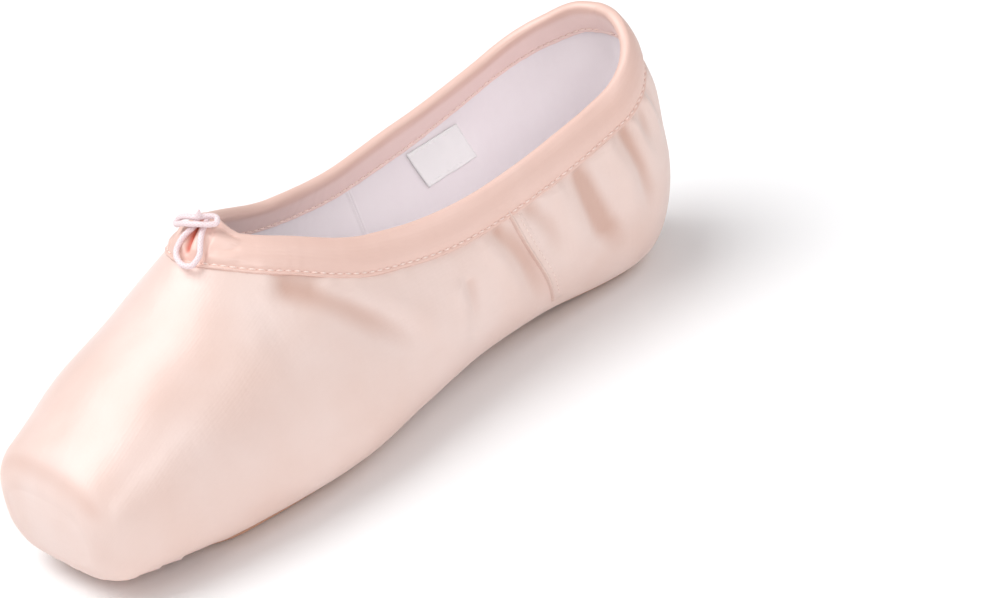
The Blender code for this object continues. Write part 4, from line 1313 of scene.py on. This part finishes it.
def add_outsole():
    """Leather sole: skived border, domed edge, a double groove pressed round it."""
    outline = sole_outline()
    turn = np.linspace(0, math.pi, 150)
    rows = bunched(OUTSOLE_TIP, OUTSOLE_END, turn)
    across = np.sin(np.linspace(0, QUARTER, 26)) * outline_half(rows)[:, None]
    y = np.broadcast_to(rows[:, None], across.shape) - LENGTH / 2
    inset = inset_of(across, y + LENGTH / 2, outline)
    top = bottom_height(across, y) - GAP
    under = sole_under(across, y + LENGTH / 2, inset)
    bulge = EDGE_BULGE * np.sqrt(np.clip(np.sin(turn), 0, 1))
    patch = Patchwork()
    for side in (1, -1):
        edge = []
        for share, out in ((0.0, 0.0), (0.25, 0.8), (0.5, 1.0), (0.75, 0.8), (1.0, 0.0)):
            level = under[:, -1] + (top[:, -1] - under[:, -1]) * share
            edge.append(np.stack([(across[:, -1] + bulge * out) * side, y[:, -1], level], -1))
        flat = pair(across * side, y)
        patch.add(np.stack([across * side, y, top], -1), flat, side > 0, TOP_MARK)
        patch.add(np.stack([across * side, y, under], -1), flat, side < 0, inset / MM)
        patch.add(np.stack(edge, 1), flip=side < 0)
    patch.finish("leather_sole", LEATHER, "sole_leather", "outsole")
    return outline


def add_flowers(outline):
    """Small flowers pressed into the sole."""
    patch = Patchwork()
    spots = []
    for along, inset, turn in FLOWERS:
        half = float(outline_half(np.array([along * LENGTH]))[0])
        spots += [(side * (half - inset * MM), along * LENGTH, turn * side) for side in (1, -1)]
    spots += [(0.0, along * LENGTH, turn) for along, turn in MIDDLE_FLOWERS]
    reach = np.linspace(0, 1, 8)
    distance = PETAL_GAP + reach * PETAL_LENGTH
    width = PETAL_WIDTH * np.sin(reach * math.pi) ** 0.8
    for x, row, turn in spots:
        for petal in range(4):
            heading = math.radians(turn + 90 * petal)
            run = np.array([math.cos(heading), math.sin(heading)])
            aside = np.array([-run[1], run[0]])
            edges = []
            for share in (-1.0, 0.0, 1.0):
                flat = np.array([x, row]) + distance[:, None] * run + (width * share)[:, None] * aside
                height = sole_under(*flat.T, inset_of(*flat.T, outline)) - STAMP_DEPTH
                edges.append(np.stack([flat[:, 0], flat[:, 1] - LENGTH / 2, height], 1))
            patch.add(np.stack(edges, 1), flip=True)
    patch.finish("sole_flowers", STAMP, "sole_leather")


def add_insole():
    """Sock over the inner board, a little dished, with its cloth turned over the edge."""
    rows = bunched(INSOLE_TIP, INSOLE_END, np.linspace(0, math.pi, 90))
    half = section("half_width", rows) * BALL_HALF * INSOLE_SHARE
    half = half * rounded(rows, INSOLE_TIP, INSOLE_ROUND) * heel_round(rows, INSOLE_END)
    shares = np.sin(np.linspace(0, QUARTER, 20))
    across = shares * half[:, None]
    y = np.broadcast_to(rows[:, None], across.shape) - LENGTH / 2
    under = bottom_height(across, y) + wall(y + LENGTH / 2) + INSOLE_GAP
    edge_round = SOCK_ROUND * smooth_step(0.9, 1.0, shares)
    wave = SOCK_WAVE * np.sin(rows[:, None] / MM / 7.0) * np.cos(shares * 4.0)
    top = under + INSOLE_THICK - edge_round + wave
    patch = Patchwork()
    for side in (1, -1):
        upper, lower = (np.stack([across * side, y, level], -1) for level in (top, under))
        patch.add(upper, upper[..., :2], side > 0)
        patch.add(lower, lower[..., :2], side < 0)
        edge = np.stack([lower[:, -1], upper[:, -1]], 1)
        patch.add(edge, edge[..., [1, 2]], side < 0)
    patch.finish("sock", SOCK, "insole_cloth", "insole")


def add_label():
    """Bare white tag sewn inside the far quarter, its edge a little lifted."""
    down = np.linspace(0, 1, 25)[:, None]
    across = np.linspace(0, 1, 33)
    path = LABEL_FROM + LABEL_WIDTH * across + LABEL_LEAN * down
    angle = angle_at(path, LABEL_TOP + (LABEL_LOW - LABEL_TOP) * down)
    lift = LABEL_LIFT * down**2 * (0.6 + 0.4 * np.cos(across * 9.0))
    lift = lift + LABEL_WAVE * np.sin(across * 21.0 + down * 3.0)
    from_edge = np.minimum(np.minimum(across, 1 - across) * LABEL_WIDTH / LABEL_DEPTH, 1 - down)
    hem = LABEL_HEM * (1 - smooth_step(0.05, 0.08, from_edge))
    near = -wall(path) - LABEL_GAP - lift
    faces = [off_last(path, angle, depth) * (-1, 1, 1) for depth in (near - LABEL_THICK - hem, near)]
    uv = pair(LABEL_WIDTH * across, LABEL_DEPTH * down)
    patch = Patchwork()
    patch.add(faces[0], uv)
    patch.add(faces[1], uv, True)
    patch.close(*faces, True)
    tag = patch.finish("blank_tag", TAG, "label_cloth", "label")
    stitches, holes = Patchwork(), Patchwork()
    for row in (2, 22):
        normal = -outward(path[row, 1:-1], angle[row, 1:-1]) * (-1, 1, 1)
        stitch_row(stitches, holes, faces[0][row, 1:-1], normal, TAG_STITCH, 1)
    stitches.finish("tag_stitches", TAG, "label_cloth")


def add_lining_seams():
    """Sewn joins of the lining, under the side seams."""
    patch = Patchwork()
    shape = np.array(JOIN_SHAPE)
    t = np.linspace(0, 1, 50)[:, None]
    start = angle_at(JOIN_TOP, collar_height(JOIN_TOP) - JOIN_DROP)
    path = JOIN_TOP + JOIN_LEAN * t**0.8 * LENGTH + shape[:, 0] * JOIN_HALF
    angle = np.broadcast_to(start + (JOIN_LOW_ANGLE - start) * t, path.shape)
    grid = off_last(path, angle, -wall(path) - shape[:, 1] * MM - JOIN_LIFT)
    for side in (1, -1):
        patch.add(grid * (side, 1, 1), pair(path, t * 0.05), side < 0)
    patch.finish("lining_seams", LINING, "insole_cloth")


def add_stage():
    """Plain pale floor, soft studio light from above and a bright surrounding."""
    floor = Surface("studio_floor", Roughness=0.9)
    cloud = floor.noise(floor.coordinates(), 3.0)
    colour = floor.blend(cloud, (0.955, 0.955, 0.965, 1), (0.97, 0.97, 0.975, 1))
    material = floor.set(Base_Color=colour)
    mesh = bpy.data.meshes.new("floor")
    far = 3.0
    mesh.from_pydata([(-far, -far, 0), (far, -far, 0), (far, far, 0), (-far, far, 0)], [], [(0, 1, 2, 3)])
    mesh.materials.append(material)
    plane = bpy.data.objects.new("floor", mesh)
    bpy.context.scene.collection.objects.link(plane)
    world = bpy.data.worlds.new("studio")
    world.use_nodes = True
    background = world.node_tree.nodes["Background"]
    background.inputs["Color"].default_value = (0.98, 0.985, 1.0, 1)
    background.inputs["Strength"].default_value = WORLD_STRENGTH
    bpy.context.scene.world = world
    for name, place, size, watts, tint in LAMPS:
        data = bpy.data.lights.new(name, "AREA")
        data.shape = "RECTANGLE"
        data.size, data.size_y = size
        data.energy = watts
        data.color = tint
        lamp = bpy.data.objects.new(name, data)
        lamp.location = place
        aim = Vector((0, 0, 0.03)) - Vector(place)
        lamp.rotation_euler = aim.to_track_quat("-Z", "Y").to_euler()
        bpy.context.scene.collection.objects.link(lamp)


view = bpy.context.scene.view_settings
view.view_transform = "Standard"
view.look = "None"

add_camera()
add_drawstring()
add_skin()
add_lining()
collar = add_binding()
add_stitches(collar)
sole_line = add_outsole()
add_flowers(sole_line)
add_insole()
add_label()
add_lining_seams()
add_stage()
